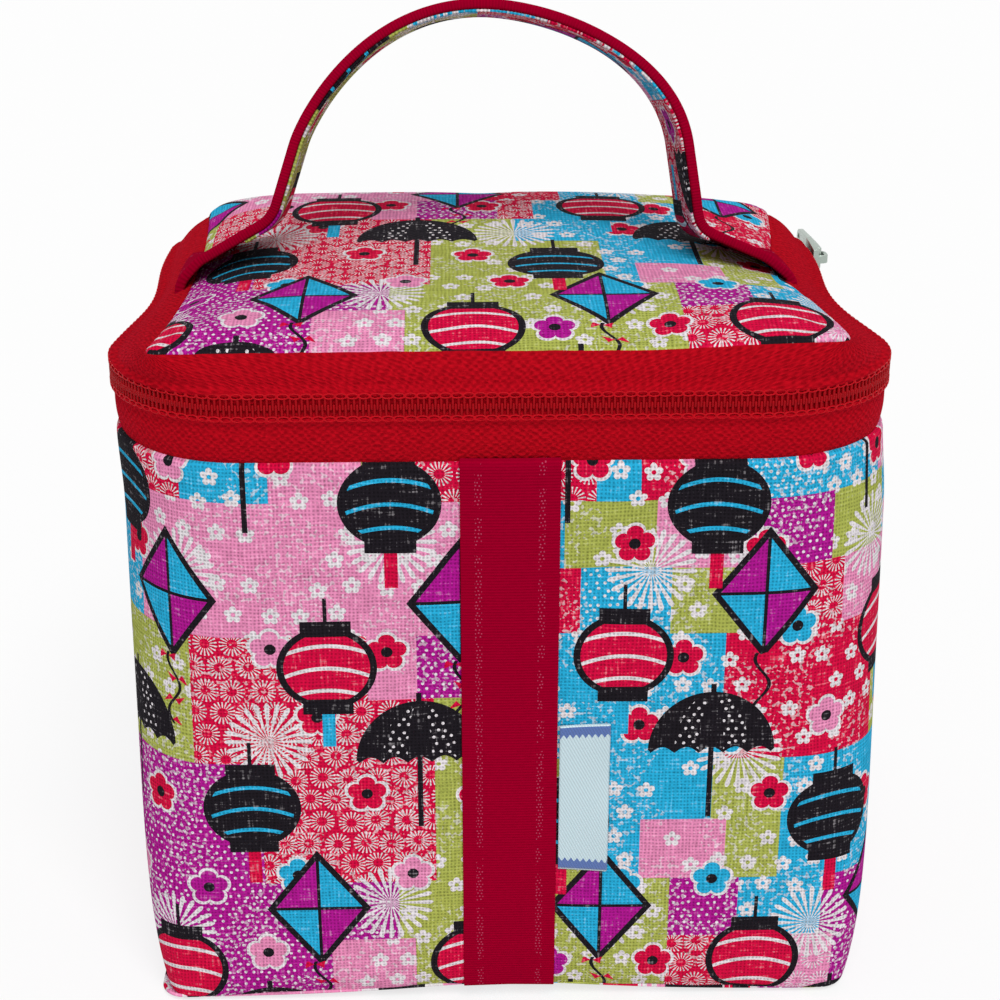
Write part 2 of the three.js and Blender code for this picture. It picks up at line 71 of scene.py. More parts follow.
# Sizes that the frame gives
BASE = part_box("base_panel")[1]
WALL_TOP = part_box("front_panel")[1].z
LOWER_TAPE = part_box("lower_zip_tape")
UPPER_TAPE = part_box("upper_zip_tape")
LOWER_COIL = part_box("lower_zip_coil")
UPPER_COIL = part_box("upper_zip_coil")
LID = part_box("lid_panel")
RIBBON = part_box("front_ribbon")
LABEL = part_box("woven_label")
STRAP_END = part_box("strap_end_right")
TOP_HALF_WIDTH = LOWER_TAPE[1].x
TOP_HALF_DEPTH = -LOWER_TAPE[0].y
ZIP_MIDDLE = (LOWER_COIL[0].z + UPPER_COIL[1].z) / 2
LID_CANVAS = 1 * MM
LID_EDGE = LID[0].z + LID_CANVAS
PIVOT_RISE = [j for j in frame["joints"] if j["name"] == "handle_fold"][0]["pos_m"][2]
STRAP_HALF_WIDTH = STRAP_END[1].y
RIBBON_MIDDLE = (RIBBON[0].x + RIBBON[1].x) / 2
RIBBON_HALF_WIDTH = (RIBBON[1].x - RIBBON[0].x) / 2


def linear(code):
    """The linear colour of an sRGB hex value."""
    parts = [int(code[i : i + 2], 16) / 255 for i in (1, 3, 5)]
    return [c / 12.92 if c <= 0.04045 else ((c + 0.055) / 1.055) ** 2.4 for c in parts]


def length(name, description, default):
    """A length property in metres."""
    return FloatProperty(name=name, description=description, default=default, unit="LENGTH", precision=5)


def colour(name, description, code):
    """A colour property from its sRGB hex value."""
    return FloatVectorProperty(
        name=name, description=description, default=linear(code), subtype="COLOR", min=0, max=1
    )


def angle(name, description, degrees):
    """An angle property, given in degrees."""
    return FloatProperty(name=name, description=description, default=math.radians(degrees), subtype="ANGLE")


class BagShape(bpy.types.PropertyGroup):
    """Sizes of the sewn body and lid."""

    front_corner: length("Front corner", "Radius of the front corners at the zip", 38 * MM)
    back_corner: length("Back corner", "Radius of the back corners at the zip", 13 * MM)
    base_corner: length("Base corner", "Radius of the corners of the base", 7 * MM)
    lid_front_corner: length("Lid front corner", "Radius of the front corners of the lid's seam", 4 * MM)
    lid_back_corner: length("Lid back corner", "Radius of the back corners of the lid's seam", 8 * MM)
    side_taper: length("Side taper", "How far the sides at the zip come in towards the back", 5 * MM)
    zip_pinch: length("Zip pinch", "How far the sides are drawn in at the zip", 5.1 * MM)
    pinch_place: length("Pinch place", "How far behind the middle the zip is drawn in most", 2 * MM)
    pinch_reach: length("Pinch reach", "How far along the side the pinch at the zip reaches", 31 * MM)
    seam_bow: length("Seam bow", "How far the sides of the lid's seam bow in", 4.6 * MM)
    strap_pull: length("Strap pull", "How much further the lid's seam is drawn in at the right", 4.2 * MM)
    pull_reach: length("Pull reach", "How far along the lid's seam the strap draws it in", 26 * MM)
    crown: length("Crown", "How far the middle of the lid rises above its seam", 4.5 * MM)
    back_lift: length("Back lift", "How far the back edge of the lid rises between its corners", 4.5 * MM)
    corner_lift: length("Corner lift", "How far the lid rises at its front right corner", 2.2 * MM)
    waist: length("Waist", "How far the walls are drawn in between base and zip before they swell", 1.3 * MM)
    sway: length("Sway", "How far the walls below the zip lean to the right", 2.5 * MM)
    zip_sway: length("Zip sway", "How far the front of the zip leans to the right", 1.3 * MM)
    base_lift: length("Base lift", "How far the bottom edge rises at the ribbon", 3.7 * MM)
    seam_drop: length("Seam drop", "How far the zip seam lies below the top of the walls", 1.4 * MM)
    lift_reach: length("Lift reach", "How far along the bottom edge that rise reaches", 38 * MM)
    canvas: length("Canvas", "Thickness of the printed canvas", 0.8 * MM)
    wadding: length("Wadding", "Thickness of the wadding", 3.6 * MM)
    lining: length("Lining", "Thickness of the lining cloth", 0.5 * MM)
    wadding_inset: length("Wadding inset", "Depth of the wadding behind the canvas face", 1.5 * MM)
    lining_inset: length("Lining inset", "Depth of the lining's outer face behind the canvas face", 5.7 * MM)
    seam_depth: length("Seam depth", "How deep an edge turns into its seam", 1.5 * MM)
    seam_width: length("Seam width", "How far from the seam the edge starts to turn in", 2.2 * MM)
    swell: length("Swell", "The most that a padded panel swells in the cloth simulation", 1.1 * MM)


class ZipShape(bpy.types.PropertyGroup):
    """Sizes of the zip."""

    end_turn: angle("End turn", "How far the zip turns round each back corner", 20)
    coil_pitch: length("Coil pitch", "Spacing of the coil's loops on one side", 1.4 * MM)
    coil_bar: length("Coil bar", "Width of one loop of the coil", 0.66 * MM)
    coil_depth: length("Coil depth", "Depth of one loop of the coil", 0.9 * MM)
    stitch_pitch: length("Stitch pitch", "Length of one chain stitch beside the coil", 2.8 * MM)
    stitch_height: length("Stitch height", "Height of one chain stitch", 1.3 * MM)
    thread: length("Thread", "Thickness of the stitching thread", 0.4 * MM)
    tape: length("Tape", "Thickness of the zip tape", 0.8 * MM)
    ridge: length("Ridge", "How far the tape stands proud beside the coil", 0.8 * MM)
    upper_puff: length("Upper puff", "How far the upper tape swells beyond its ridge", 0.7 * MM)
    lower_lean: length("Lower lean", "How far the lower tape leans in under the coil", 1.4 * MM)
    lower_puff: length("Lower puff", "How far the lower tape swells beyond its ridge", 0.5 * MM)


class HandleShape(bpy.types.PropertyGroup):
    """Sizes of the strap handle."""

    left_foot: length("Left foot", "Distance of the strap's left end from the middle", 83.5 * MM)
    right_foot: length("Right foot", "Distance of the strap's right end from the middle", 79 * MM)
    left_kink: length("Left kink", "Distance of the left kink from the middle", 57.7 * MM)
    right_kink: length("Right kink", "Distance of the right kink from the middle", 52.8 * MM)
    left_drop: length("Left drop", "How far the left kink lies below the fold", 6.2 * MM)
    right_drop: length("Right drop", "How far the right kink lies below the fold", 9.4 * MM)
    kink_radius: length("Kink radius", "Length of each side of the kink's round", 5 * MM)
    left_slope: angle("Left slope", "Slope of the strap's left leg", 71.9)
    right_slope: angle("Right slope", "Slope of the strap's right leg", 81.3)
    left_leg: length("Left leg", "Length of the strap's straight left leg", 21.1 * MM)
    right_leg: length("Right leg", "Length of the strap's straight right leg", 23 * MM)
    left_shoulder: length("Left shoulder", "How far the left leg runs on into the arch", 6.6 * MM)
    right_shoulder: length("Right shoulder", "How far the right leg runs on into the arch", 25.4 * MM)
    left_level: length("Left level", "How far the crown carries on to the left", 30.5 * MM)
    right_level: length("Right level", "How far the crown carries on to the right", 16 * MM)
    crown_rise: length("Crown rise", "Height of the crown above the fold", 48.5 * MM)
    crown_shift: length("Crown shift", "How far the crown lies to the left of the middle", 3.2 * MM)
    lean: angle("Lean", "How far the handle leans to the back at rest", 12)
    twist: angle("Twist", "How far the right leg's front edge is turned out", 4)
    ribbon: length("Ribbon", "Thickness of the folded ribbon on the outer face", 2.6 * MM)
    lining: length("Lining", "Thickness of the printed lining on the inner face", 0.8 * MM)
    samples: IntProperty(name="Samples", description="Steps along the strap", default=220, min=40)


class BagColours(bpy.types.PropertyGroup):
    """Colours of the cloths, the zip and the print."""

    pink: colour("Pink", "Pink patches of the print", "#E88DB8")
    red: colour("Red", "Red patches of the print", "#D60A41")
    magenta: colour("Magenta", "Magenta patches of the print", "#B01690")
    sky: colour("Sky", "Sky blue patches of the print", "#28AEDB")
    olive: colour("Olive", "Olive patches of the print", "#ABB354")
    white: colour("White", "White of the print", "#E4DEE2")
    ink: colour("Ink", "Near-black outlines of the print", "#1E1A20")
    tape: colour("Tape", "Zip tape", "#A60A18")
    coil: colour("Coil", "Zip coil", "#98000C")
    thread: colour("Thread", "Chain stitching beside the coil", "#B20012")
    ribbon: colour("Ribbon", "Grosgrain ribbon", "#960025")
    lining: colour("Lining", "Plain lining cloth", "#EFE3E4")
    wadding: colour("Wadding", "Wadding", "#F1EFEA")
    label: colour("Label", "Satin of the woven label", "#BDD3DA")
    label_band: colour("Label band", "Woven bands of the label", "#4664A4")
    metal: colour("Metal", "Plated metal of the slider and its pull", "#AAB5AD")


# Outline of the bag in plan


def lerp(a, b, share):
    """The value at a share of the way from a to b."""
    return a + (b - a) * share


def smooth_step(low, high, value):
    """0 below low, 1 above high, and smooth between them."""
    t = np.clip((value - low) / (high - low), 0, 1)
    return t * t * (3 - 2 * t)


def outline(section, q):
    """Points and outward normals of a rounded plan outline.

    section is (half width, half depth, front radius, back radius). q counts the outline's eight stretches
    from the back end of the right side: side, front right corner, front, and so on round to the back.
    """
    w, d, front, back = [np.broadcast_to(part, np.shape(q)) for part in section]
    q = np.mod(q, 8)
    stretch = np.floor(q).astype(int) % 8
    t = q - np.floor(q)
    side = 2 * d - front - back
    x_straight = [w, 0 * w, (w - front) * (1 - 2 * t), 0 * w, -w, 0 * w, (back - w) * (1 - 2 * t), 0 * w]
    y_straight = [d - back - side * t, 0 * w, -d, 0 * w, front - d + side * t, 0 * w, d, 0 * w]
    x_corner = np.choose(stretch, [0 * w, w - front, 0 * w, front - w, 0 * w, back - w, 0 * w, w - back])
    y_corner = np.choose(stretch, [0 * w, front - d, 0 * w, front - d, 0 * w, d - back, 0 * w, d - back])
    radius = np.choose(stretch, [0 * w, front, 0 * w, front, 0 * w, back, 0 * w, back])
    turned = np.choose(stretch, [0, 0, 1, 1, 2, 2, 3, 3]) + np.where(stretch % 2 == 1, t, 0)
    angle = -QUARTER * turned
    nx, ny = np.cos(angle), np.sin(angle)
    round_part = stretch % 2 == 1
    x = np.where(round_part, x_corner + radius * nx, np.choose(stretch, x_straight))
    y = np.where(round_part, y_corner + radius * ny, np.choose(stretch, y_straight))
    return x, y, nx, ny


def top_section():
    """The outline at the zip."""
    shape = bpy.context.scene.bag_shape
    return TOP_HALF_WIDTH, TOP_HALF_DEPTH, shape.front_corner, shape.back_corner


def seam_section():
    """The outline of the lid's seam."""
    shape = bpy.context.scene.bag_shape
    return LID[1].x, LID[1].y, shape.lid_front_corner, shape.lid_back_corner


def wall_section(z):
    """The outline of the body at a height, from the base to the zip tape's lower edge."""
    shape = bpy.context.scene.bag_shape
    rise = np.clip(z / WALL_TOP, 0, 1)
    flare = 7
    widened = 1 - (1 - rise) ** flare
    drawn_in = shape.waist * np.sin(np.pi * rise)
    return (
        lerp(BASE.x, TOP_HALF_WIDTH, widened) - drawn_in,
        lerp(BASE.y, TOP_HALF_DEPTH, widened) - drawn_in,
        lerp(shape.base_corner, shape.front_corner, rise),
        lerp(shape.base_corner, shape.back_corner, rise),
    )


def band_lean(z):
    """How far the lid's band has leaned in at a height: 0 at the zip and 1 at the lid's seam."""
    hollow = 1.15
    return np.clip((z - UPPER_TAPE[0].z) / (UPPER_TAPE[1].z - UPPER_TAPE[0].z), 0, 1) ** hollow


def band_section(z):
    """The outline of the lid's band at a height."""
    return [lerp(a, b, band_lean(z)) for a, b in zip(top_section(), seam_section())]


def side_pinch(x, y, z):
    """How far a side is drawn in: to the back and at mid zip, and by the strap at the lid's seam."""
    shape = bpy.context.scene.bag_shape
    start, end = shape.front_corner - TOP_HALF_DEPTH, TOP_HALF_DEPTH - shape.back_corner
    taper = shape.side_taper * np.clip((y - start) / (end - start), 0, 1)
    pinch = shape.zip_pinch * np.exp(-(((y - shape.pinch_place) / shape.pinch_reach) ** 2))
    rise = np.clip(z / WALL_TOP, 0, 1)
    pinch_start = 0.62
    at_zip = taper * rise + pinch * smooth_step(pinch_start, 1, rise)
    pull = shape.strap_pull * np.exp(-((y / shape.pull_reach) ** 2))
    at_seam = shape.seam_bow * np.clip(1 - (y / LID[1].y) ** 2, 0, 1) + np.where(x > 0, pull, 0)
    return lerp(at_zip, at_seam, band_lean(z))


def sway(y, z):
    """How far the bag leans to the right: at the zip only near the front, and not at the lid's seam."""
    shape = bpy.context.scene.bag_shape
    front_zone, near_zip = (-0.75, -0.1), (0.85, 1)
    at_zip = shape.zip_sway * (1 - smooth_step(*front_zone, y / TOP_HALF_DEPTH))
    return lerp(shape.sway, at_zip, smooth_step(*near_zip, z / WALL_TOP)) * (1 - band_lean(z))


def bag_line(section, q, z):
    """Points and outward normals of the bag's outline at a height, with its sides drawn in and swayed."""
    x, y, nx, ny = outline(section, q)
    side_zone = (0.6, 0.95)
    on_side = smooth_step(*side_zone, np.abs(x) / TOP_HALF_WIDTH)
    return x + on_side * (sway(y, z) - np.sign(x) * side_pinch(x, y, z)), y, nx, ny


def lid_lift(x, y):
    """How far the lid rises: to its back edge, steeply at the left, and at its front right corner."""
    shape = bpy.context.scene.bag_shape
    left_steepness, right_steepness = 8, 2.5
    steepness = np.where(x < 0, left_steepness, right_steepness)
    across = 1 - np.clip(np.abs(x) / LID[1].x, 0, 1) ** steepness
    to_right, to_front, to_back = (0.35, 1), (0.3, -0.9), (-0.3, 0.9)
    corner = smooth_step(*to_right, x / LID[1].x) * smooth_step(*to_front, y / LID[1].y)
    back = across * smooth_step(*to_back, y / LID[1].y)
    return shape.back_lift * back + shape.corner_lift * corner


def side_seams():
    """The outline coordinates of the left and the right side seam, halfway between front and back."""
    _, d, front, back = top_section()
    share = (d - back) / (2 * d - front - back)
    return 5 - share, share


def zip_ends():
    """The outline coordinates of the zip's left and right end, round the back corners."""
    turn = bpy.context.scene.zip_shape.end_turn / QUARTER
    return 5 + turn, -turn


def even_run(start, stop, section):
    """A function from a share of the way to the outline coordinate, even in length, and the whole length."""
    samples = 2000
    q = np.linspace(start, stop, samples)
    x, y, _, _ = outline(section, q)
    run = np.concatenate([[0], np.cumsum(np.hypot(np.diff(x), np.diff(y)))])
    return (lambda share: np.interp(np.asarray(share) * run[-1], run, q)), run[-1]


def base_rise(x, y, z):
    """How far the bottom edge is drawn up beside the ribbon, front and back."""
    shape = bpy.context.scene.bag_shape
    bluntness, fade = 1.5, 15 * MM
    along = np.exp(-((np.abs(x - RIBBON_MIDDLE) / shape.lift_reach) ** bluntness))
    return shape.base_lift * along * np.clip(np.abs(y) / BASE.y, 0, 1) ** 3 * np.exp(-z / fade)


def plate(u, v, section):
    """Points of a rounded plate over a square of shares, and how far out to the edge each of them lies."""
    w, d, front, back = section
    a, b = 2 * u - 1, 2 * v - 1
    radius = np.where(b < 0, front, back)
    over_x = np.maximum(np.abs(a) * w - (w - radius), 0)
    over_y = np.maximum(np.abs(b) * d - (d - radius), 0)
    reach = np.hypot(over_x, over_y)
    pull_in = np.where(reach > 0, np.maximum(over_x, over_y) / np.maximum(reach, 1e-9), 1)
    x = np.sign(a) * (np.minimum(np.abs(a) * w, w - radius) + over_x * pull_in)
    y = np.sign(b) * (np.minimum(np.abs(b) * d, d - radius) + over_y * pull_in)
    return x, y, np.maximum(np.abs(a), np.abs(b))


# Modelling


def select_only(piece):
    """Selects one object and makes it active."""
    bpy.ops.object.select_all(action="DESELECT")
    piece.select_set(True)
    bpy.context.view_layer.objects.active = piece


def coordinates(mesh):
    """A mesh's points as an array."""
    flat = np.empty(len(mesh.vertices) * 3)
    mesh.vertices.foreach_get("co", flat)
    return flat.reshape(-1, 3)


def cloth_grid(name, columns, rows, place, proud=None, crowd=0.0, ruled=False):
    """A grid of cloth whose points go to place(across, up), then out along its normal by proud(across, up).

    crowd draws the rows and columns towards the edges. The UV map is the flat cloth in metres, from the
    middle of its width and the bottom of its height. A ruled cloth is as long in every row as in its middle.
    """
    bpy.ops.object.select_all(action="DESELECT")
    bpy.ops.mesh.primitive_grid_add(x_subdivisions=columns, y_subdivisions=rows, size=1)
    piece = bpy.context.active_object
    piece.name = name
    mesh = piece.data
    mesh.name = name
    square = coordinates(mesh)[:, :2] + 0.5
    column = np.rint(square[:, 0] * columns).astype(int)
    row = np.rint(square[:, 1] * rows).astype(int)
    across, up = [s - crowd * np.sin(2 * np.pi * s) / (2 * np.pi) for s in square.T]
    points = np.stack(np.broadcast_arrays(*place(across, up)), axis=1)
    table = np.empty((rows + 1, columns + 1, 3))
    table[row, column] = points
    steps = np.linalg.norm(np.diff(table, axis=1), axis=2)
    run = np.concatenate([np.zeros((rows + 1, 1)), np.cumsum(steps, axis=1)], axis=1)
    run -= run[:, columns // 2][:, None]
    if ruled:
        run[:] = run[rows // 2]
    climb = np.linalg.norm(np.diff(table[:, columns // 2], axis=0), axis=1)
    climb = np.concatenate([[0], np.cumsum(climb)])
    flat = np.stack([run[row, column], climb[row]], axis=1)
    if proud is not None:
        normal = np.cross(np.gradient(table, axis=1), np.gradient(table, axis=0))
        normal /= np.maximum(np.linalg.norm(normal, axis=2), 1e-12)[:, :, None]
        points = points + normal[row, column] * np.broadcast_to(proud(across, up), across.shape)[:, None]
    mesh.vertices.foreach_set("co", points.ravel())
    corners = np.empty(len(mesh.loops), dtype=int)
    mesh.loops.foreach_get("vertex_index", corners)
    mesh.uv_layers.active.data.foreach_set("uv", flat[corners].ravel())
    mesh.update()
    return piece


def flat_size(piece):
    """The width and the length that a cloth was cut to, from its UV map."""
    layer = piece.data.uv_layers.active.data
    flat = np.empty(len(layer) * 2)
    layer.foreach_get("uv", flat)
    flat = flat.reshape(-1, 2)
    return tuple(float(side) for side in flat.max(axis=0) - flat.min(axis=0))


def edge_distance(across, up, width, height):
    """How far a point of a flat cloth lies from the nearest edge."""
    return np.minimum(np.minimum(across, 1 - across) * width, np.minimum(up, 1 - up) * height)


def border(piece):
    """Which points of a sheet lie on its border."""
    counts = {}
    for face in piece.data.polygons:
        for key in face.edge_keys:
            counts[key] = counts.get(key, 0) + 1
    on_border = np.zeros(len(piece.data.vertices), dtype=bool)
    on_border[[point for key, count in counts.items() if count == 1 for point in key]] = True
    return on_border


def turned_in(distance):
    """How deep a cloth's edge turns into its seam, at a distance from the edge."""
    shape = bpy.context.scene.bag_shape
    near = np.clip(1 - distance / shape.seam_width, 0, 1)
    return shape.seam_depth * (1 - np.sqrt(1 - near * near))


def swell(piece, sewn, pressure, slack):
    """Puffs a padded panel out between its seams by cloth simulation. sewn is how firmly a point is held."""
    scene = bpy.context.scene
    most = scene.bag_shape.swell
    select_only(piece)
    group = piece.vertex_groups.new(name="sewn")
    for index, weight in enumerate(sewn):
        group.add([index], float(weight), "REPLACE")
    before = coordinates(piece.data)
    cloth = piece.modifiers.new("swell", "CLOTH")
    settings = cloth.settings
    settings.quality = 6
    settings.mass = 0.2
    settings.tension_stiffness = 30
    settings.compression_stiffness = 30
    settings.shear_stiffness = 12
    settings.bending_stiffness = 6
    settings.tension_damping = 12
    settings.air_damping = 3
    settings.shrink_min = -slack
    settings.vertex_group_mass = "sewn"
    settings.use_pressure = True
    settings.uniform_pressure_force = pressure
    settings.effector_weights.gravity = 0
    frames = 20
    cloth.point_cache.frame_start = 1
    cloth.point_cache.frame_end = frames
    for step in range(1, frames + 1):
        scene.frame_set(step)
    bpy.ops.object.modifier_apply(modifier="swell")
    moved = coordinates(piece.data) - before
    far = np.linalg.norm(moved, axis=1)
    capped = most * np.tanh(far / most)
    moved *= (capped / np.maximum(far, 1e-9))[:, None]
    piece.data.vertices.foreach_set("co", (before + moved).ravel())
    piece.data.update()
    piece.vertex_groups.clear()
    scene.frame_set(1)


def apply_all(piece):
    """Applies a piece's modifiers in order."""
    select_only(piece)
    for modifier in list(piece.modifiers):
        bpy.ops.object.modifier_apply(modifier=modifier.name)


def round_edges(piece, width, sharper_than):
    """Bevels the edges of a piece that are sharper than an angle in degrees."""
    edge = piece.modifiers.new("edge", "BEVEL")
    edge.width = width
    edge.segments = 3
    edge.limit_method = "ANGLE"
    edge.angle_limit = math.radians(sharper_than)


def cover(piece, material):
    """Gives a piece its only material."""
    piece.data.materials.clear()
    piece.data.materials.append(material)


def finish_cloth(piece, material, thickness, levels=0, inwards=True, bevel=0.0):
    """Gives a sheet its thickness, a finer surface and its material."""
    if levels:
        fine = piece.modifiers.new("fine", "SUBSURF")
        fine.levels = levels
        fine.render_levels = levels
    wall = piece.modifiers.new("thickness", "SOLIDIFY")
    wall.thickness = thickness
    wall.offset = -1 if inwards else 1
    if bevel:
        round_edges(piece, bevel, sharper_than=50)
    apply_all(piece)
    bpy.ops.object.shade_smooth()
    cover(piece, material)


def place_on(piece, body, slot, *nodes):
    """Lets a piece ride on a body in place of its CAD nodes. Its finish slot is not used."""
    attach(piece, body)
    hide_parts(*nodes)


def merge_points(piece):
    """Joins the points of a piece that lie on each other, such as the ends of a cloth ring."""
    select_only(piece)
    bpy.ops.object.mode_set(mode="EDIT")
    bpy.ops.mesh.select_all(action="SELECT")
    bpy.ops.mesh.remove_doubles(threshold=0.05 * MM)
    bpy.ops.object.mode_set(mode="OBJECT")


def join(first, *others):
    """Joins pieces into the first one."""
    select_only(first)
    for other in others:
        other.select_set(True)
    bpy.ops.object.join()


# Materials


def feed(tree, node, inputs):
    """Feeds a node's sockets, given by name or number, with values, sockets or other nodes."""
    for key, value in inputs.items():
        named = [s for s in node.inputs if s.name == key and s.enabled]
        socket = named[0] if named else node.inputs[key]
        if isinstance(value, bpy.types.Node):
            value = [s for s in value.outputs if s.enabled][0]
        if isinstance(value, bpy.types.NodeSocket):
            tree.links.new(value, socket)
        else:
            socket.default_value = value


def add(tree, kind, inputs=None, **settings):
    """Adds a node with its settings, and feeds its sockets."""
    node = tree.nodes.new(kind)
    for name, value in settings.items():
        setattr(node, name, value)
    feed(tree, node, inputs or {})
    return node


def new_material(name):
    """An empty node material, with its tree and its surface shader."""
    material = bpy.data.materials.new(name)
    material.use_nodes = True
    tree = material.node_tree
    tree.nodes.clear()
    shader = add(tree, "ShaderNodeBsdfPrincipled")
    add(tree, "ShaderNodeOutputMaterial", {"Surface": shader})
    return material, tree, shader


def new_group(name, inputs, outputs):
    """A node group with its sockets, given as name and kind, and its two end nodes."""
    group = bpy.data.node_groups.new(name, "ShaderNodeTree")
    for socket, kind in inputs.items():
        group.interface.new_socket(socket, in_out="INPUT", socket_type="NodeSocket" + kind)
    for socket, kind in outputs.items():
        group.interface.new_socket(socket, in_out="OUTPUT", socket_type="NodeSocket" + kind)
    return group, add(group, "NodeGroupInput").outputs


def tint(value):
    """A colour property with its alpha, as a socket takes it."""
    return (*value, 1.0)


MATH = "ShaderNodeMath"
VECTOR = "ShaderNodeVectorMath"
MIX = "ShaderNodeMix"
GROUP = "ShaderNodeGroup"
NOISE = "ShaderNodeTexNoise"
SPLIT = "ShaderNodeSeparateXYZ"
BUMP = "ShaderNodeBump"
# Settings of a mix that shades a colour by a tone
SHADED = {"data_type": "RGBA", "blend_type": "MULTIPLY"}


def cloth_in_mm(tree):
    """A cloth's own flat coordinates in millimetres."""
    flat = add(tree, "ShaderNodeUVMap", uv_map="UVMap")
    return add(tree, VECTOR, {0: flat, 1: (1 / MM, 1 / MM, 0.0)}, operation="MULTIPLY")


def scatter_group():
    """Splits the cloth into cells in staggered rows. Gives the place in a cell and two random numbers."""
    group, given = new_group(
        "Scatter",
        {"Vector": "Vector", "Cell": "Vector", "Shift": "Float", "Loose": "Vector", "Seed": "Float"},
        {"Local": "Vector", "Chance": "Float", "Other": "Float"},
    )
    shares = add(group, VECTOR, {0: given["Vector"], 1: given["Cell"]}, operation="DIVIDE")
    split = add(group, SPLIT, {0: shares})
    row = add(group, MATH, {0: split.outputs["Y"]}, operation="FLOOR")
    slide = add(group, MATH, {0: row, 1: given["Shift"], 2: split.outputs["X"]}, operation="MULTIPLY_ADD")
    staggered = add(group, "ShaderNodeCombineXYZ", {"X": slide, "Y": split.outputs["Y"]})
    cell = add(group, VECTOR, {0: staggered}, operation="FLOOR")
    dice = add(group, "ShaderNodeTexWhiteNoise", {"Vector": cell, "W": given["Seed"]}, noise_dimensions="4D")
    inside = add(group, VECTOR, {0: staggered}, operation="FRACTION")
    centred = add(group, VECTOR, {0: inside, 1: (0.5, 0.5, 0.0)}, operation="SUBTRACT")
    sized = add(group, VECTOR, {0: centred, 1: given["Cell"]}, operation="MULTIPLY")
    even = add(group, VECTOR, {0: dice.outputs["Color"], 1: (0.5, 0.5, 0.5)}, operation="SUBTRACT")
    jitter = add(group, VECTOR, {0: even, 1: given["Loose"]}, operation="MULTIPLY")
    local = add(group, VECTOR, {0: sized, 1: jitter}, operation="SUBTRACT")
    blue = add(group, SPLIT, {0: dice.outputs["Color"]})
    given_back = {"Local": local, "Chance": dice.outputs["Value"], "Other": blue.outputs["Z"]}
    add(group, "NodeGroupOutput", given_back)
    return group


def petals_group():
    """A flower of round petals. Gives how far a point lies inside its edge, and how far from its middle."""
    group, given = new_group(
        "Petals",
        {"Local": "Vector", "Count": "Float", "Radius": "Float", "Depth": "Float"},
        {"Inside": "Float", "Middle": "Float", "Wave": "Float"},
    )
    split = add(group, SPLIT, {0: given["Local"]})
    angle = add(group, MATH, {0: split.outputs["X"], 1: split.outputs["Y"]}, operation="ARCTAN2")
    half = add(group, MATH, {0: given["Count"], 1: 0.5}, operation="MULTIPLY")
    turns = add(group, MATH, {0: angle, 1: half}, operation="MULTIPLY")
    wave = add(group, MATH, {0: add(group, MATH, {0: turns}, operation="COSINE")}, operation="ABSOLUTE")
    full = add(group, MATH, {0: wave, 1: 0.6}, operation="POWER")
    valley = add(group, MATH, {0: 1.0, 1: given["Depth"]}, operation="SUBTRACT")
    share = add(group, MATH, {0: full, 1: given["Depth"], 2: valley}, operation="MULTIPLY_ADD")
    edge = add(group, MATH, {0: share, 1: given["Radius"]}, operation="MULTIPLY")
    middle = add(group, VECTOR, {0: given["Local"]}, operation="LENGTH")
    inside = add(group, MATH, {0: edge, 1: middle.outputs["Value"]}, operation="SUBTRACT")
    add(group, "NodeGroupOutput", {"Inside": inside, "Middle": middle.outputs["Value"], "Wave": wave})
    return group


def lantern_group():
    """A hanging paper lantern, 24 mm wide. Gives its paper, its ribs, its ink and its tassel as masks."""
    group, given = new_group(
        "Lantern",
        {"Local": "Vector"},
        {"Paper": "Float", "Ribs": "Float", "Ink": "Float", "Tassel": "Float"},
    )
    half_width, half_height, line = 12.0, 11.0, 0.075
    shares = add(group, VECTOR, {0: given["Local"], 1: (half_width, half_height, 1.0)}, operation="DIVIDE")
    reach = add(group, VECTOR, {0: shares}, operation="LENGTH").outputs["Value"]
    paper = add(group, MATH, {0: reach, 1: 1.0}, operation="LESS_THAN")
    edge = add(group, MATH, {0: reach, 1: 1.0, 2: line}, operation="COMPARE")
    split = add(group, SPLIT, {0: given["Local"]})
    wide = add(group, MATH, {0: split.outputs["X"]}, operation="ABSOLUTE")
    tall = add(group, MATH, {0: split.outputs["Y"]}, operation="ABSOLUTE")
    # The caps close the paper above and below
    cap_rows = add(group, MATH, {0: tall, 1: 11.2, 2: 2.2}, operation="COMPARE")
    cap_width = add(group, MATH, {0: wide, 1: 6.5}, operation="LESS_THAN")
    cap = add(group, MATH, {0: cap_rows, 1: cap_width}, operation="MULTIPLY")
    # Hoops lie every 3.2 mm and bow with the paper
    bow = add(group, MATH, {0: wide, 1: wide}, operation="MULTIPLY")
    bowed = add(group, MATH, {0: bow, 1: 0.02, 2: split.outputs["Y"]}, operation="MULTIPLY_ADD")
    hoop = add(group, MATH, {0: bowed, 1: 3.2}, operation="PINGPONG")
    hoop_line = add(group, MATH, {0: hoop, 1: 0.55}, operation="LESS_THAN")
    ribs = add(group, MATH, {0: hoop_line, 1: paper}, operation="MULTIPLY")
    # The cord hangs above, and the tassel below
    below = add(group, MATH, {0: split.outputs["Y"], 1: -18.0, 2: 5.0}, operation="COMPARE")
    strands = add(group, MATH, {0: wide, 1: 1.7}, operation="LESS_THAN")
    tassel = add(group, MATH, {0: below, 1: strands}, operation="MULTIPLY")
    above = add(group, MATH, {0: split.outputs["Y"], 1: 16.0, 2: 4.0}, operation="COMPARE")
    cord = add(group, MATH, {0: wide, 1: 0.5}, operation="LESS_THAN")
    hung = add(group, MATH, {0: above, 1: cord}, operation="MULTIPLY")
    ink = add(group, MATH, {0: edge, 1: cap}, operation="MAXIMUM")
    ink = add(group, MATH, {0: ink, 1: hung}, operation="MAXIMUM")
    add(group, "NodeGroupOutput", {"Paper": paper, "Ribs": ribs, "Ink": ink, "Tassel": tassel})
    return group


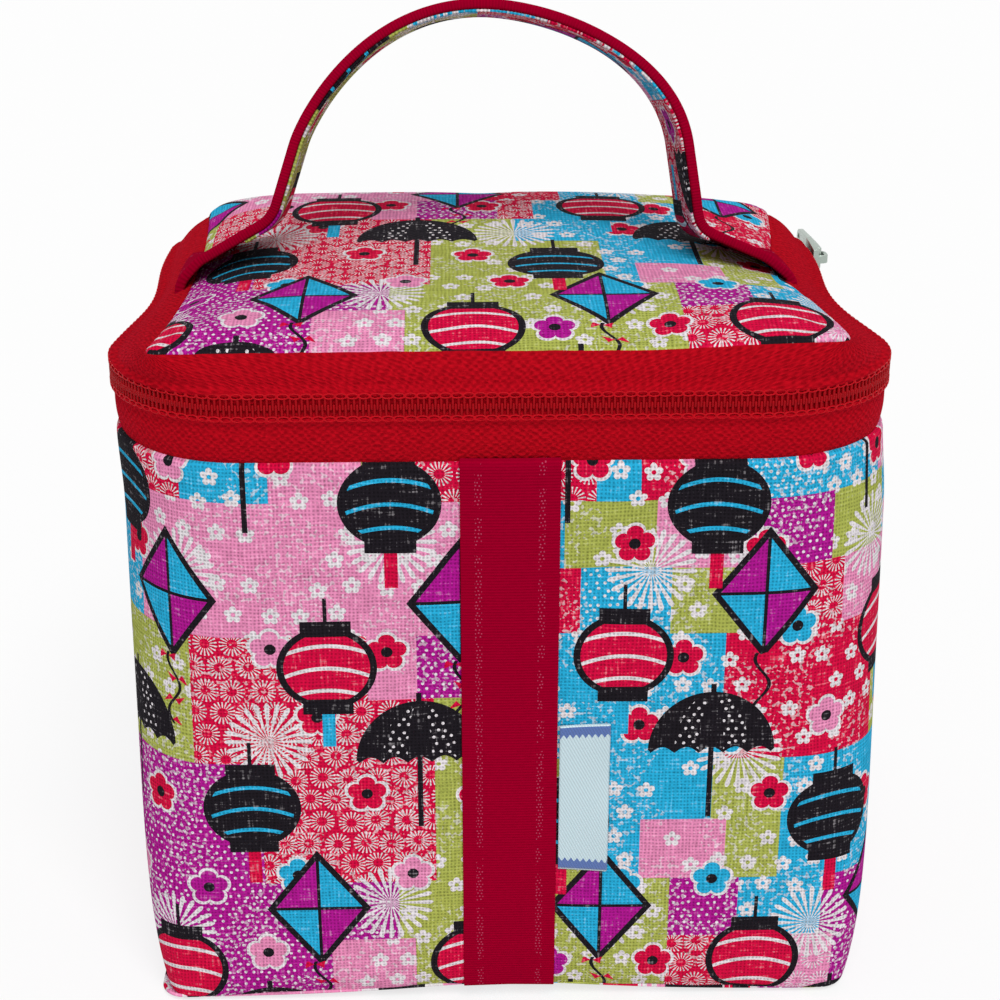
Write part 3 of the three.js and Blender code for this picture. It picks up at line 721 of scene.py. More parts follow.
def kite_group():
    """A paper kite, 26 mm wide and 34 mm tall. Gives its paper, two quarters, bows and ink as masks."""
    group, given = new_group(
        "Kite",
        {"Local": "Vector"},
        {"Paper": "Float", "Quarters": "Float", "Bows": "Float", "Ink": "Float"},
    )
    half_width, half_height, line = 13.0, 17.0, 0.08
    split = add(group, SPLIT, {0: given["Local"]})
    x, y = split.outputs["X"], split.outputs["Y"]
    wide = add(group, MATH, {0: x}, operation="ABSOLUTE")
    tall = add(group, MATH, {0: y}, operation="ABSOLUTE")
    across = add(group, MATH, {0: wide, 1: half_width}, operation="DIVIDE")
    reach = add(group, MATH, {0: tall, 1: 1 / half_height, 2: across}, operation="MULTIPLY_ADD")
    paper = add(group, MATH, {0: reach, 1: 1.0}, operation="LESS_THAN")
    edge = add(group, MATH, {0: reach, 1: 1.0, 2: line}, operation="COMPARE")
    side = add(group, MATH, {0: x, 1: y}, operation="MULTIPLY")
    quarter = add(group, MATH, {0: side, 1: 0.0}, operation="GREATER_THAN")
    quarters = add(group, MATH, {0: quarter, 1: paper}, operation="MULTIPLY")
    # Two spars cross in the middle
    spar = add(group, MATH, {0: wide, 1: tall}, operation="MINIMUM")
    spar = add(group, MATH, {0: spar, 1: 0.45}, operation="LESS_THAN")
    spar = add(group, MATH, {0: spar, 1: paper}, operation="MULTIPLY")
    # The tail hangs 20 mm below, swings 2 mm to each side and carries a bow every 6 mm
    swing = add(group, MATH, {0: add(group, MATH, {0: y, 1: 0.42}, operation="MULTIPLY")}, operation="SINE")
    aside = add(group, MATH, {0: swing, 1: -2.0, 2: x}, operation="MULTIPLY_ADD")
    aside = add(group, MATH, {0: aside}, operation="ABSOLUTE")
    rows = add(group, MATH, {0: y, 1: -half_height - 10.0, 2: 10.0}, operation="COMPARE")
    cord = add(group, MATH, {0: aside, 1: 0.5}, operation="LESS_THAN")
    cord = add(group, MATH, {0: cord, 1: rows}, operation="MULTIPLY")
    knot = add(group, MATH, {0: y, 1: 3.0}, operation="PINGPONG")
    spread = add(group, MATH, {0: aside, 1: 0.55, 2: -0.15}, operation="MULTIPLY_ADD")
    knot = add(group, MATH, {0: knot, 1: spread}, operation="LESS_THAN")
    bow = add(group, MATH, {0: aside, 1: 2.6}, operation="LESS_THAN")
    bow = add(group, MATH, {0: bow, 1: knot}, operation="MULTIPLY")
    bows = add(group, MATH, {0: bow, 1: rows}, operation="MULTIPLY")
    ink = add(group, MATH, {0: edge, 1: spar}, operation="MAXIMUM")
    ink = add(group, MATH, {0: ink, 1: cord}, operation="MAXIMUM")
    add(group, "NodeGroupOutput", {"Paper": paper, "Quarters": quarters, "Bows": bows, "Ink": ink})
    return group


def parasol_group():
    """A parasol, 32 mm wide, seen from the side. Gives its canopy, its panels and its ink as masks."""
    group, given = new_group(
        "Parasol",
        {"Local": "Vector"},
        {"Canopy": "Float", "Panels": "Float", "Ink": "Float"},
    )
    half_width, height = 16.0, 17.0
    shares = add(group, VECTOR, {0: given["Local"], 1: (half_width, height, 1.0)}, operation="DIVIDE")
    reach = add(group, VECTOR, {0: shares}, operation="LENGTH").outputs["Value"]
    split = add(group, SPLIT, {0: given["Local"]})
    share = add(group, SPLIT, {0: shares})
    # The hem swings up between five ribs
    swing = add(group, MATH, {0: split.outputs["X"], 1: math.pi * 2.5 / half_width}, operation="MULTIPLY")
    scallop = add(group, MATH, {0: add(group, MATH, {0: swing}, operation="COSINE")}, operation="ABSOLUTE")
    hem = add(group, MATH, {0: scallop, 1: -1.8, 2: split.outputs["Y"]}, operation="MULTIPLY_ADD")
    upper = add(group, MATH, {0: hem, 1: 0.0}, operation="GREATER_THAN")
    dome = add(group, MATH, {0: reach, 1: 1.0}, operation="LESS_THAN")
    canopy = add(group, MATH, {0: dome, 1: upper}, operation="MULTIPLY")
    # Panels narrow towards the tip
    squared = add(group, MATH, {0: share.outputs["Y"], 1: share.outputs["Y"]}, operation="MULTIPLY")
    chord = add(group, MATH, {0: 1.02, 1: squared}, operation="SUBTRACT")
    chord = add(group, MATH, {0: chord}, operation="SQRT")
    turn = add(group, MATH, {0: share.outputs["X"], 1: chord}, operation="DIVIDE")
    panel = add(group, MATH, {0: turn, 1: 0.4}, operation="PINGPONG")
    bright = add(group, MATH, {0: panel, 1: 0.2}, operation="LESS_THAN")
    panels = add(group, MATH, {0: bright, 1: canopy}, operation="MULTIPLY")
    # Shaft, tip and outline
    wide = add(group, MATH, {0: split.outputs["X"]}, operation="ABSOLUTE")
    thin = add(group, MATH, {0: wide, 1: 0.7}, operation="LESS_THAN")
    shaft = add(group, MATH, {0: split.outputs["Y"], 1: 0.0, 2: 20.0}, operation="COMPARE")
    shaft = add(group, MATH, {0: shaft, 1: thin}, operation="MULTIPLY")
    edge = add(group, MATH, {0: reach, 1: 1.0, 2: 0.04}, operation="COMPARE")
    edge = add(group, MATH, {0: edge, 1: upper}, operation="MULTIPLY")
    lip = add(group, MATH, {0: hem, 1: 0.0, 2: 0.5}, operation="COMPARE")
    lip = add(group, MATH, {0: lip, 1: dome}, operation="MULTIPLY")
    ink = add(group, MATH, {0: edge, 1: lip}, operation="MAXIMUM")
    ink = add(group, MATH, {0: ink, 1: shaft}, operation="MAXIMUM")
    add(group, "NodeGroupOutput", {"Canopy": canopy, "Panels": panels, "Ink": ink})
    return group


def printed_canvas():
    """Cotton canvas, plain weave, pigment printed with patches, blossoms, lanterns, kites and parasols."""
    # Matt cloth whose coarse threads leave pinholes, darkened with painted shade, and break up the ink
    material, tree, shader = new_material("Printed cotton canvas")
    tones = bpy.context.scene.bag_colours
    white, ink, red, pink, sky, magenta, olive = [
        tint(getattr(tones, name)) for name in ("white", "ink", "red", "pink", "sky", "magenta", "olive")
    ]
    cloth = cloth_in_mm(tree)

    # Fields of figures in mm: the cell, the shift of each row, how loosely a figure lies in it, and a seed
    scatter = scatter_group()
    fields = {}
    for name, cell, shift, loose, seed in (
        ("large patch", (46.0, 37.0), 0.37, (0.0, 0.0), 3.0),
        ("small patch", (23.0, 18.5), 0.185, (0.0, 0.0), 11.0),
        ("dot", (2.3, 2.0), 0.5, (0.9, 0.9), 5.0),
        ("bud", (8.4, 7.6), 0.5, (2.4, 2.4), 7.0),
        ("burst", (7.2, 6.6), 0.5, (1.2, 1.2), 9.0),
        ("mum", (61.0, 53.0), 0.41, (16.0, 12.0), 21.0),
        ("blossom", (27.0, 24.0), 0.43, (11.0, 9.0), 31.0),
    ):
        given = {"Vector": cloth, "Cell": (*cell, 1.0), "Shift": shift, "Loose": (*loose, 0.0), "Seed": seed}
        fields[name] = add(tree, GROUP, given, node_tree=scatter).outputs
    # The large figures stand in four interlocking lattices of one cell
    cell, loose = (78.0, 88.0, 1.0), (6.0, 8.0, 0.0)
    for name, offset, seed in (
        ("kite", (9.0, 12.0, 0.0), 41.0),
        ("lantern", (46.0, 30.0, 0.0), 43.0),
        ("parasol", (22.0, 58.0, 0.0), 47.0),
        ("lamp", (64.0, 74.0, 0.0), 53.0),
    ):
        moved = add(tree, VECTOR, {0: cloth, 1: offset}, operation="ADD")
        given = {"Vector": moved, "Cell": cell, "Shift": 0.5, "Loose": loose, "Seed": seed}
        fields[name] = add(tree, GROUP, given, node_tree=scatter).outputs
    # Flowers: the number of petals, the radius in mm, and how deep the gaps between petals are
    petals = petals_group()
    flowers = {}
    for name, count, radius, depth in (
        ("bud", 5.0, 2.4, 0.5),
        ("burst", 18.0, 3.5, 0.4),
        ("mum", 24.0, 11.5, 0.5),
        ("blossom", 5.0, 5.2, 0.34),
    ):
        given = {"Local": fields[name]["Local"], "Count": count, "Radius": radius, "Depth": depth}
        flowers[name] = add(tree, GROUP, given, node_tree=petals).outputs
    shapes = {"kite": kite_group(), "lantern": lantern_group(), "parasol": parasol_group()}
    shapes["lamp"] = shapes["lantern"]
    figures = {
        name: add(tree, GROUP, {"Local": fields[name]["Local"]}, node_tree=shape).outputs
        for name, shape in shapes.items()
    }

    # Patches of plain colour, some of them split into quarters, and petals in four colours
    split_up = add(tree, MATH, {0: fields["large patch"]["Other"], 1: 0.55}, operation="GREATER_THAN")
    chances = {"A": fields["large patch"]["Chance"], "B": fields["small patch"]["Chance"]}
    pick = add(tree, MIX, {"Factor": split_up, **chances}, data_type="FLOAT")
    ramps = []
    for share, first, others in (
        (pick, pink, ((0.21, red), (0.48, olive), (0.67, sky), (0.81, magenta))),
        (fields["blossom"]["Other"], red, ((0.45, pink), (0.65, sky), (0.82, magenta))),
    ):
        ramps.append(add(tree, "ShaderNodeValToRGB", {"Fac": share}))
        ramp = ramps[-1].color_ramp
        ramp.interpolation = "CONSTANT"
        ramp.elements.remove(ramp.elements[1])
        ramp.elements[0].color = first
        for start, shade in others:
            ramp.elements.new(start).color = shade
    patch, petal = ramps

    # Small white figures fill the patches: dots, blossoms or bursts
    dot_mask = add(tree, VECTOR, {0: fields["dot"]["Local"]}, operation="LENGTH").outputs["Value"]
    dot_mask = add(tree, MATH, {0: dot_mask, 1: 0.42}, operation="LESS_THAN")
    bud = flowers["bud"]
    bud_petals = add(tree, MATH, {0: bud["Inside"], 1: 0.0}, operation="GREATER_THAN")
    bud_open = add(tree, MATH, {0: bud["Middle"], 1: 0.6}, operation="GREATER_THAN")
    bud_kept = add(tree, MATH, {0: fields["bud"]["Chance"], 1: 0.35}, operation="GREATER_THAN")
    bud_mask = add(tree, MATH, {0: bud_petals, 1: bud_open}, operation="MULTIPLY")
    bud_mask = add(tree, MATH, {0: bud_mask, 1: bud_kept}, operation="MULTIPLY")
    spokes = add(tree, MATH, {0: flowers["burst"]["Wave"], 1: 0.84}, operation="GREATER_THAN")
    burst_ring = add(tree, MATH, {0: flowers["burst"]["Middle"], 1: 2.4, 2: 1.0}, operation="COMPARE")
    burst_mask = add(tree, MATH, {0: spokes, 1: burst_ring}, operation="MULTIPLY")
    kind = add(tree, MATH, {0: pick, 1: 5.0}, operation="MULTIPLY")
    kind = add(tree, MATH, {0: kind}, operation="FLOOR")
    is_dots = add(tree, MATH, {0: kind, 1: 4.0, 2: 0.5}, operation="COMPARE")
    is_burst = add(tree, MATH, {0: kind, 1: 1.0, 2: 0.5}, operation="COMPARE")
    fill = add(tree, MIX, {"Factor": is_dots, "A": bud_mask, "B": dot_mask}, data_type="FLOAT")
    fill = add(tree, MIX, {"Factor": is_burst, "A": fill, "B": burst_mask}, data_type="FLOAT")

    # Flecks under 1 mm wide, and only in some places
    fleck = add(tree, NOISE, {"Vector": cloth, "Scale": 0.75, "Detail": 1.0})
    region = add(tree, NOISE, {"Vector": cloth, "Scale": 0.05, "Detail": 1.0})
    fleck = add(tree, MATH, {0: fleck.outputs["Fac"], 1: 0.58}, operation="GREATER_THAN")
    region = add(tree, MATH, {0: region.outputs["Fac"], 1: 0.47}, operation="GREATER_THAN")
    fleck = add(tree, MATH, {0: fleck, 1: region}, operation="MULTIPLY")
    fleck = add(tree, MATH, {0: fleck, 1: 0.5}, operation="MULTIPLY")

    # Many-petalled round flowers, white on the patches
    mum_petals = add(tree, MATH, {0: flowers["mum"]["Inside"], 1: 0.0}, operation="GREATER_THAN")
    mum_gaps = add(tree, MATH, {0: flowers["mum"]["Wave"], 1: 0.72}, operation="GREATER_THAN")
    mum_mask = add(tree, MATH, {0: mum_petals, 1: mum_gaps}, operation="MULTIPLY")

    # Blossoms with a pale rim and a dark heart, each layer with its colour
    blossom = flowers["blossom"]
    chosen = add(tree, MATH, {0: fields["blossom"]["Chance"], 1: 0.25}, operation="GREATER_THAN")
    layers = [(fill, white), (fleck, white), (mum_mask, white)]
    for part, limit, test, shade in (
        ("Inside", -0.9, "GREATER_THAN", white),
        ("Inside", 0.0, "GREATER_THAN", petal),
        ("Middle", 1.5, "LESS_THAN", ink),
    ):
        mask = add(tree, MATH, {0: blossom[part], 1: limit}, operation=test)
        layers.append((add(tree, MATH, {0: mask, 1: chosen}, operation="MULTIPLY"), shade))

    # Kites, lanterns and parasols lie on top
    kite = figures["kite"]
    quarter = add(tree, MIX, {"Factor": kite["Quarters"], "A": magenta, "B": sky}, data_type="RGBA")
    layers += [(kite["Paper"], quarter), (kite["Ink"], ink), (kite["Bows"], red)]
    for name, paper, hoop, tassel in (("lantern", red, white, sky), ("lamp", ink, sky, red)):
        lantern = figures[name]
        shade = add(tree, MIX, {"Factor": lantern["Ribs"], "A": paper, "B": hoop}, data_type="RGBA")
        layers += [(lantern["Tassel"], tassel), (lantern["Paper"], shade), (lantern["Ink"], ink)]
    parasol = figures["parasol"]
    dotted = add(tree, MIX, {"Factor": dot_mask, "A": ink, "B": white}, data_type="RGBA")
    silk = add(tree, MIX, {"Factor": parasol["Panels"], "A": dotted, "B": ink}, data_type="RGBA")
    layers += [(parasol["Canopy"], silk), (parasol["Ink"], ink)]
    picture = patch
    for mask, shade in layers:
        picture = add(tree, MIX, {"Factor": mask, "A": picture, "B": shade}, data_type="RGBA")

    # Threads lie about 1 mm apart, and their thickness wanders
    thread = 1.0
    wander = add(tree, NOISE, {"Vector": cloth, "Scale": 0.22, "Detail": 3.0})
    wander = add(tree, VECTOR, {0: wander.outputs["Color"], 1: (0.5, 0.5, 0.5)}, operation="SUBTRACT")
    wander = add(tree, VECTOR, {0: wander, 1: (1.1, 1.1, 0.0), 2: cloth}, operation="MULTIPLY_ADD")
    phase = add(tree, VECTOR, {0: wander, 1: (2 * math.pi / thread,) * 3}, operation="MULTIPLY")
    waves = add(tree, VECTOR, {0: phase}, operation="COSINE")
    raised = add(tree, VECTOR, {0: waves, 1: (0.5, 0.5, 0.5), 2: (0.5, 0.5, 0.5)}, operation="MULTIPLY_ADD")
    hole = add(tree, SPLIT, {0: raised})
    pinhole = add(tree, MATH, {0: hole.outputs["X"], 1: hole.outputs["Y"]}, operation="MULTIPLY")
    # Over and under: each crossing stands up in turn
    crossing = add(tree, VECTOR, {0: phase, 1: (0.5, 0.5, 0.5)}, operation="MULTIPLY")
    crossing = add(tree, VECTOR, {0: crossing}, operation="SINE")
    crossing = add(tree, SPLIT, {0: crossing})
    over = add(tree, MATH, {0: crossing.outputs["X"], 1: crossing.outputs["Y"]}, operation="MULTIPLY")
    # Slubs: streaks along the threads, 6 mm long and under 1 mm wide
    streaks = []
    for stretch in ((0.16, 1.3, 0.0), (1.3, 0.16, 0.0)):
        stretched = add(tree, VECTOR, {0: cloth, 1: stretch}, operation="MULTIPLY")
        streaks.append(add(tree, NOISE, {"Vector": stretched, "Scale": 1.0, "Detail": 2.0}).outputs["Fac"])
    slub = add(tree, MATH, {0: streaks[0], 1: streaks[1]}, operation="ADD")
    slub = add(tree, MATH, {0: slub, 1: 1.0}, operation="SUBTRACT")
    light = add(tree, MATH, {0: slub, 1: 0.55, 2: 0.92}, operation="MULTIPLY_ADD")
    # The pinholes between the threads are darkened with painted shade; the slubs' lighter and darker streaks
    # are the cloth's own tone
    light = add(tree, MATH, {0: pinhole, 1: -0.42, 2: light}, operation="MULTIPLY_ADD")
    shaded = add(tree, MIX, {"Factor": 1.0, "A": picture, "B": light}, **SHADED)
    # Bare cotton shows where a thread stands proud of the ink
    worn = add(tree, MATH, {0: slub, 1: 0.14}, operation="SUBTRACT")
    worn = add(tree, MATH, {0: worn, 1: 1.2}, operation="MULTIPLY", use_clamp=True)
    shaded = add(tree, MIX, {"Factor": worn, "A": shaded, "B": white}, data_type="RGBA")

    height = add(tree, MATH, {0: over, 1: 0.35, 2: slub}, operation="MULTIPLY_ADD")
    height = add(tree, MATH, {0: pinhole, 1: -0.8, 2: height}, operation="MULTIPLY_ADD")
    bump = add(tree, BUMP, {"Height": height, "Strength": 0.5, "Distance": 0.25 * MM})
    feed(tree, shader, {"Base Color": shaded, "Normal": bump})
    feed(tree, shader, {"Roughness": 0.85, "IOR": 1.5, "Specular IOR Level": 0.05})
    return material


def zip_tape():
    """Polyester zip tape, woven in short floats and piece dyed."""
    # Satiny red cloth with staggered dashes where the weft floats over the warp, drawn as painted highlight
    # on the floats and painted shade between them, and threads that wander
    material, tree, shader = new_material("Woven polyester zip tape")
    tones = bpy.context.scene.bag_colours
    cloth = cloth_in_mm(tree)
    wander = add(tree, NOISE, {"Vector": cloth, "Scale": 0.45, "Detail": 3.0})
    wander = add(tree, VECTOR, {0: wander.outputs["Color"], 1: (0.5, 0.5, 0.5)}, operation="SUBTRACT")
    wander = add(tree, VECTOR, {0: wander, 1: (3.2, 1.1, 0.0), 2: cloth}, operation="MULTIPLY_ADD")
    # Floats are 2.2 mm apart in rows 0.95 mm apart, and each row is shifted by half a float
    phase = add(tree, VECTOR, {0: wander, 1: (2 * math.pi / 2.2, math.pi / 0.95, 0.0)}, operation="MULTIPLY")
    waves = add(tree, SPLIT, {0: add(tree, VECTOR, {0: phase}, operation="COSINE")})
    floats = add(tree, MATH, {0: waves.outputs["X"], 1: waves.outputs["Y"]}, operation="MULTIPLY")
    floats = add(tree, MATH, {0: floats, 1: 0.42, 2: 0.5}, operation="MULTIPLY_ADD")
    # Uneven threads break the rows into dashes about 1.5 mm long
    dashes = add(tree, VECTOR, {0: cloth, 1: (0.65, 1.5, 0.0)}, operation="MULTIPLY")
    dashes = add(tree, NOISE, {"Vector": dashes, "Scale": 1.0, "Detail": 1.0})
    dashes = add(tree, MATH, {0: dashes.outputs["Fac"], 1: 0.5}, operation="SUBTRACT")
    floats = add(tree, MATH, {0: dashes, 1: 1.3, 2: floats}, operation="MULTIPLY_ADD", use_clamp=True)
    grain = add(tree, NOISE, {"Vector": cloth, "Scale": 2.2, "Detail": 3.0})
    # The floats are lightened with painted highlight and the gaps between them darkened with painted shade;
    # the grain is the tape's own uneven tone
    tone = add(tree, MATH, {0: floats, 1: 0.56, 2: 0.53}, operation="MULTIPLY_ADD")
    tone = add(tree, MATH, {0: grain.outputs["Fac"], 1: 0.3, 2: tone}, operation="MULTIPLY_ADD")
    dyed = add(tree, MIX, {"Factor": 1.0, "A": tint(tones.tape), "B": tone}, **SHADED)
    height = add(tree, MATH, {0: grain.outputs["Fac"], 1: 0.3, 2: floats}, operation="MULTIPLY_ADD")
    bump = add(tree, BUMP, {"Height": height, "Strength": 0.8, "Distance": 0.3 * MM})
    feed(tree, shader, {"Base Color": dyed, "Normal": bump, "Roughness": 0.7, "Specular IOR Level": 0.0})
    sheen = tint(linear("#E8405A"))
    feed(tree, shader, {"Sheen Weight": 0.25, "Sheen Roughness": 0.4, "Sheen Tint": sheen})
    return material


def nylon(name, dye):
    """Nylon monofilament or thread, melt spun and dyed."""
    # Smooth, with a soft narrow highlight and slight dye streaks about 1.1 mm wide
    material, tree, shader = new_material(name)
    place = add(tree, "ShaderNodeTexCoord").outputs["Object"]
    streak = add(tree, NOISE, {"Vector": place, "Scale": 900.0, "Detail": 2.0})
    tone = add(tree, MATH, {0: streak.outputs["Fac"], 1: 0.5, 2: 0.75}, operation="MULTIPLY_ADD")
    dyed = add(tree, MIX, {"Factor": 1.0, "A": tint(dye), "B": tone}, **SHADED)
    rough = add(tree, MATH, {0: streak.outputs["Fac"], 1: 0.2, 2: 0.42}, operation="MULTIPLY_ADD")
    feed(tree, shader, {"Base Color": dyed, "Roughness": rough, "IOR": 1.53, "Specular IOR Level": 0.1})
    return material


def grosgrain():
    """Polyester grosgrain ribbon, woven with a thick weft and piece dyed."""
    # Fine cross ribs with a low sheen and painted shade between them, and a pale thread carried up the
    # ribbon near each edge
    material, tree, shader = new_material("Polyester grosgrain ribbon")
    tones = bpy.context.scene.bag_colours
    cloth = cloth_in_mm(tree)
    split = add(tree, SPLIT, {0: cloth})
    # Ribs are 0.8 mm apart, drawn a little coarser than the real 0.6 mm so that they show
    rib = add(tree, MATH, {0: split.outputs["Y"], 1: 2 * math.pi / 0.8}, operation="MULTIPLY")
    rib = add(tree, MATH, {0: rib}, operation="SINE")
    rib = add(tree, MATH, {0: rib, 1: 0.5, 2: 0.5}, operation="MULTIPLY_ADD")
    stretched = add(tree, VECTOR, {0: cloth, 1: (0.5, 1.6, 0.0)}, operation="MULTIPLY")
    grain = add(tree, NOISE, {"Vector": stretched, "Scale": 1.0, "Detail": 4.0})
    # The ribs' crests are lighter and their grooves darker with painted light and shade; the grain is the
    # ribbon's own tone
    tone = add(tree, MATH, {0: rib, 1: 0.16, 2: 0.78}, operation="MULTIPLY_ADD")
    tone = add(tree, MATH, {0: grain.outputs["Fac"], 1: 0.3, 2: tone}, operation="MULTIPLY_ADD")
    tone = add(tree, MATH, {0: tone, 1: 0.1}, operation="SUBTRACT")
    dyed = add(tree, MIX, {"Factor": 1.0, "A": tint(tones.ribbon), "B": tone}, **SHADED)
    # The pale thread shows as specks 0.4 mm wide, within 0.9 mm of a line 8 mm from the middle
    side = add(tree, MATH, {0: split.outputs["X"]}, operation="ABSOLUTE")
    column = add(tree, MATH, {0: side, 1: 8.0, 2: 0.9}, operation="COMPARE")
    given = {"Vector": cloth, "Cell": (0.9, 1.0, 1.0), "Shift": 0.5, "Loose": (0.4, 0.4, 0.0), "Seed": 61.0}
    specks = add(tree, GROUP, given, node_tree=scatter_group()).outputs
    speck = add(tree, VECTOR, {0: specks["Local"]}, operation="LENGTH").outputs["Value"]
    speck = add(tree, MATH, {0: speck, 1: 0.2}, operation="LESS_THAN")
    patchy = add(tree, NOISE, {"Vector": cloth, "Scale": 0.16, "Detail": 2.0})
    patchy = add(tree, MATH, {0: patchy.outputs["Fac"], 1: 0.42}, operation="GREATER_THAN")
    pale = add(tree, MATH, {0: column, 1: speck}, operation="MULTIPLY")
    pale = add(tree, MATH, {0: pale, 1: patchy}, operation="MULTIPLY")
    pale = add(tree, MATH, {0: pale, 1: 0.2}, operation="MULTIPLY")
    dyed = add(tree, MIX, {"Factor": pale, "A": dyed, "B": tint(tones.pink)}, data_type="RGBA")
    height = add(tree, MATH, {0: grain.outputs["Fac"], 1: 0.5, 2: rib}, operation="MULTIPLY_ADD")
    bump = add(tree, BUMP, {"Height": height, "Strength": 0.5, "Distance": 0.18 * MM})
    feed(tree, shader, {"Base Color": dyed, "Normal": bump, "Roughness": 0.6, "Specular IOR Level": 0.0})
    sheen = tint(linear("#D8405E"))
    feed(tree, shader, {"Sheen Weight": 0.1, "Sheen Roughness": 0.4, "Sheen Tint": sheen})
    return material


def lining_cloth():
    """Cotton lining, plain weave, undyed."""
    # Matt pale cloth with a fine even weave, shown by faint painted light and shade, and slubs about 4 mm
    # long
    material, tree, shader = new_material("Cotton lining cloth")
    tones = bpy.context.scene.bag_colours
    flat = add(tree, "ShaderNodeUVMap", uv_map="UVMap")
    # Threads are drawn 0.9 mm apart, coarser than the real 0.4 mm, so that they show
    phase = add(tree, VECTOR, {0: flat, 1: (2 * math.pi / (0.9 * MM),) * 3}, operation="MULTIPLY")
    split = add(tree, SPLIT, {0: add(tree, VECTOR, {0: phase}, operation="SINE")})
    weave = add(tree, MATH, {0: split.outputs["X"], 1: split.outputs["Y"]}, operation="MULTIPLY")
    slub = add(tree, NOISE, {"Vector": flat, "Scale": 260.0, "Detail": 3.0})
    # The weave is drawn into the colour as faint painted light and shade; the slubs are the cloth's own tone
    tone = add(tree, MATH, {0: weave, 1: 0.05, 2: 0.85}, operation="MULTIPLY_ADD")
    tone = add(tree, MATH, {0: slub.outputs["Fac"], 1: 0.2, 2: tone}, operation="MULTIPLY_ADD")
    woven = add(tree, MIX, {"Factor": 1.0, "A": tint(tones.lining), "B": tone}, **SHADED)
    bump = add(tree, BUMP, {"Height": weave, "Strength": 0.3, "Distance": 0.1 * MM})
    feed(tree, shader, {"Base Color": woven, "Normal": bump, "Roughness": 0.9, "Specular IOR Level": 0.2})
    return material


def wadding_fleece():
    """Polyester wadding, needled fibres."""
    # Off-white and fluffy in tufts about 3 mm wide, with no gloss
    material, tree, shader = new_material("Polyester wadding")
    tones = bpy.context.scene.bag_colours
    place = add(tree, "ShaderNodeTexCoord").outputs["Object"]
    fluff = add(tree, NOISE, {"Vector": place, "Scale": 300.0, "Detail": 5.0})
    tone = add(tree, MATH, {0: fluff.outputs["Fac"], 1: 0.3, 2: 0.8}, operation="MULTIPLY_ADD")
    fibres = add(tree, MIX, {"Factor": 1.0, "A": tint(tones.wadding), "B": tone}, **SHADED)
    bump = add(tree, BUMP, {"Height": fluff.outputs["Fac"], "Strength": 0.6, "Distance": 0.5 * MM})
    feed(tree, shader, {"Base Color": fibres, "Normal": bump, "Roughness": 1.0})
    return material


def label_satin(length_up):
    """Woven polyester label, satin ground with two figured bands."""
    # Silky pale ground with fine diagonal twill in painted light and shade, and a deep band with a toothed
    # edge across each end
    material, tree, shader = new_material("Woven satin label")
    tones = bpy.context.scene.bag_colours
    cloth = cloth_in_mm(tree)
    split = add(tree, SPLIT, {0: cloth})
    height = length_up / MM
    # Bands are 2.8 mm deep, and their teeth are 1.1 mm long and 1.66 mm apart
    centre = add(tree, MATH, {0: split.outputs["Y"], 1: height / 2}, operation="SUBTRACT")
    from_middle = add(tree, MATH, {0: centre}, operation="ABSOLUTE")
    tooth = add(tree, MATH, {0: split.outputs["X"], 1: 0.83}, operation="PINGPONG")
    start = add(tree, MATH, {0: tooth, 1: 1.6, 2: height / 2 - 3.9}, operation="MULTIPLY_ADD")
    start = add(tree, MATH, {0: start, 1: height / 2 - 2.8}, operation="MINIMUM")
    band = add(tree, MATH, {0: from_middle, 1: start}, operation="GREATER_THAN")
    end = add(tree, MATH, {0: from_middle, 1: height / 2 - 0.4}, operation="LESS_THAN")
    band = add(tree, MATH, {0: band, 1: end}, operation="MULTIPLY")
    # The twill's steep ridges are 0.8 mm apart across the label
    slope = add(tree, MATH, {0: split.outputs["Y"], 1: 0.5, 2: split.outputs["X"]}, operation="MULTIPLY_ADD")
    twill = add(tree, MATH, {0: slope, 1: 2 * math.pi / 0.8}, operation="MULTIPLY")
    twill = add(tree, MATH, {0: twill}, operation="SINE")
    twill = add(tree, MATH, {0: twill, 1: 0.12, 2: 0.92}, operation="MULTIPLY_ADD")
    ground, figured = tint(tones.label), tint(tones.label_band)
    ground = add(tree, MIX, {"Factor": band, "A": ground, "B": figured}, data_type="RGBA")
    # The twill's ridges and grooves are painted into the colour as light and shade
    woven = add(tree, MIX, {"Factor": 1.0, "A": ground, "B": twill}, **SHADED)
    bump = add(tree, BUMP, {"Height": twill, "Strength": 0.4, "Distance": 0.1 * MM})
    feed(tree, shader, {"Base Color": woven, "Normal": bump})
    feed(tree, shader, {"Roughness": 0.42, "IOR": 1.54, "Sheen Weight": 0.2})
    return material


def plated_zinc():
    """Zinc die casting, barrelled and nickel plated."""
    # Pale bright metal with a faint cast ripple about 2.4 mm long, left by the mould and the barrel
    material, tree, shader = new_material("Nickel plated zinc casting")
    tones = bpy.context.scene.bag_colours
    place = add(tree, "ShaderNodeTexCoord").outputs["Object"]
    ripple = add(tree, NOISE, {"Vector": place, "Scale": 420.0, "Detail": 4.0})
    rough = add(tree, MATH, {0: ripple.outputs["Fac"], 1: 0.25, 2: 0.2}, operation="MULTIPLY_ADD")
    tone = add(tree, MATH, {0: ripple.outputs["Fac"], 1: 0.2, 2: 0.9}, operation="MULTIPLY_ADD")
    plated = add(tree, MIX, {"Factor": 1.0, "A": tint(tones.metal), "B": tone}, **SHADED)
    bump = add(tree, BUMP, {"Height": ripple.outputs["Fac"], "Strength": 0.15, "Distance": 0.1 * MM})
    feed(tree, shader, {"Base Color": plated, "Roughness": rough, "Normal": bump, "Metallic": 1.0})
    return material


def material_of(name, make, *values):
    """The material of that name, made the first time that it is asked for."""
    return bpy.data.materials.get(name) or make(*values)


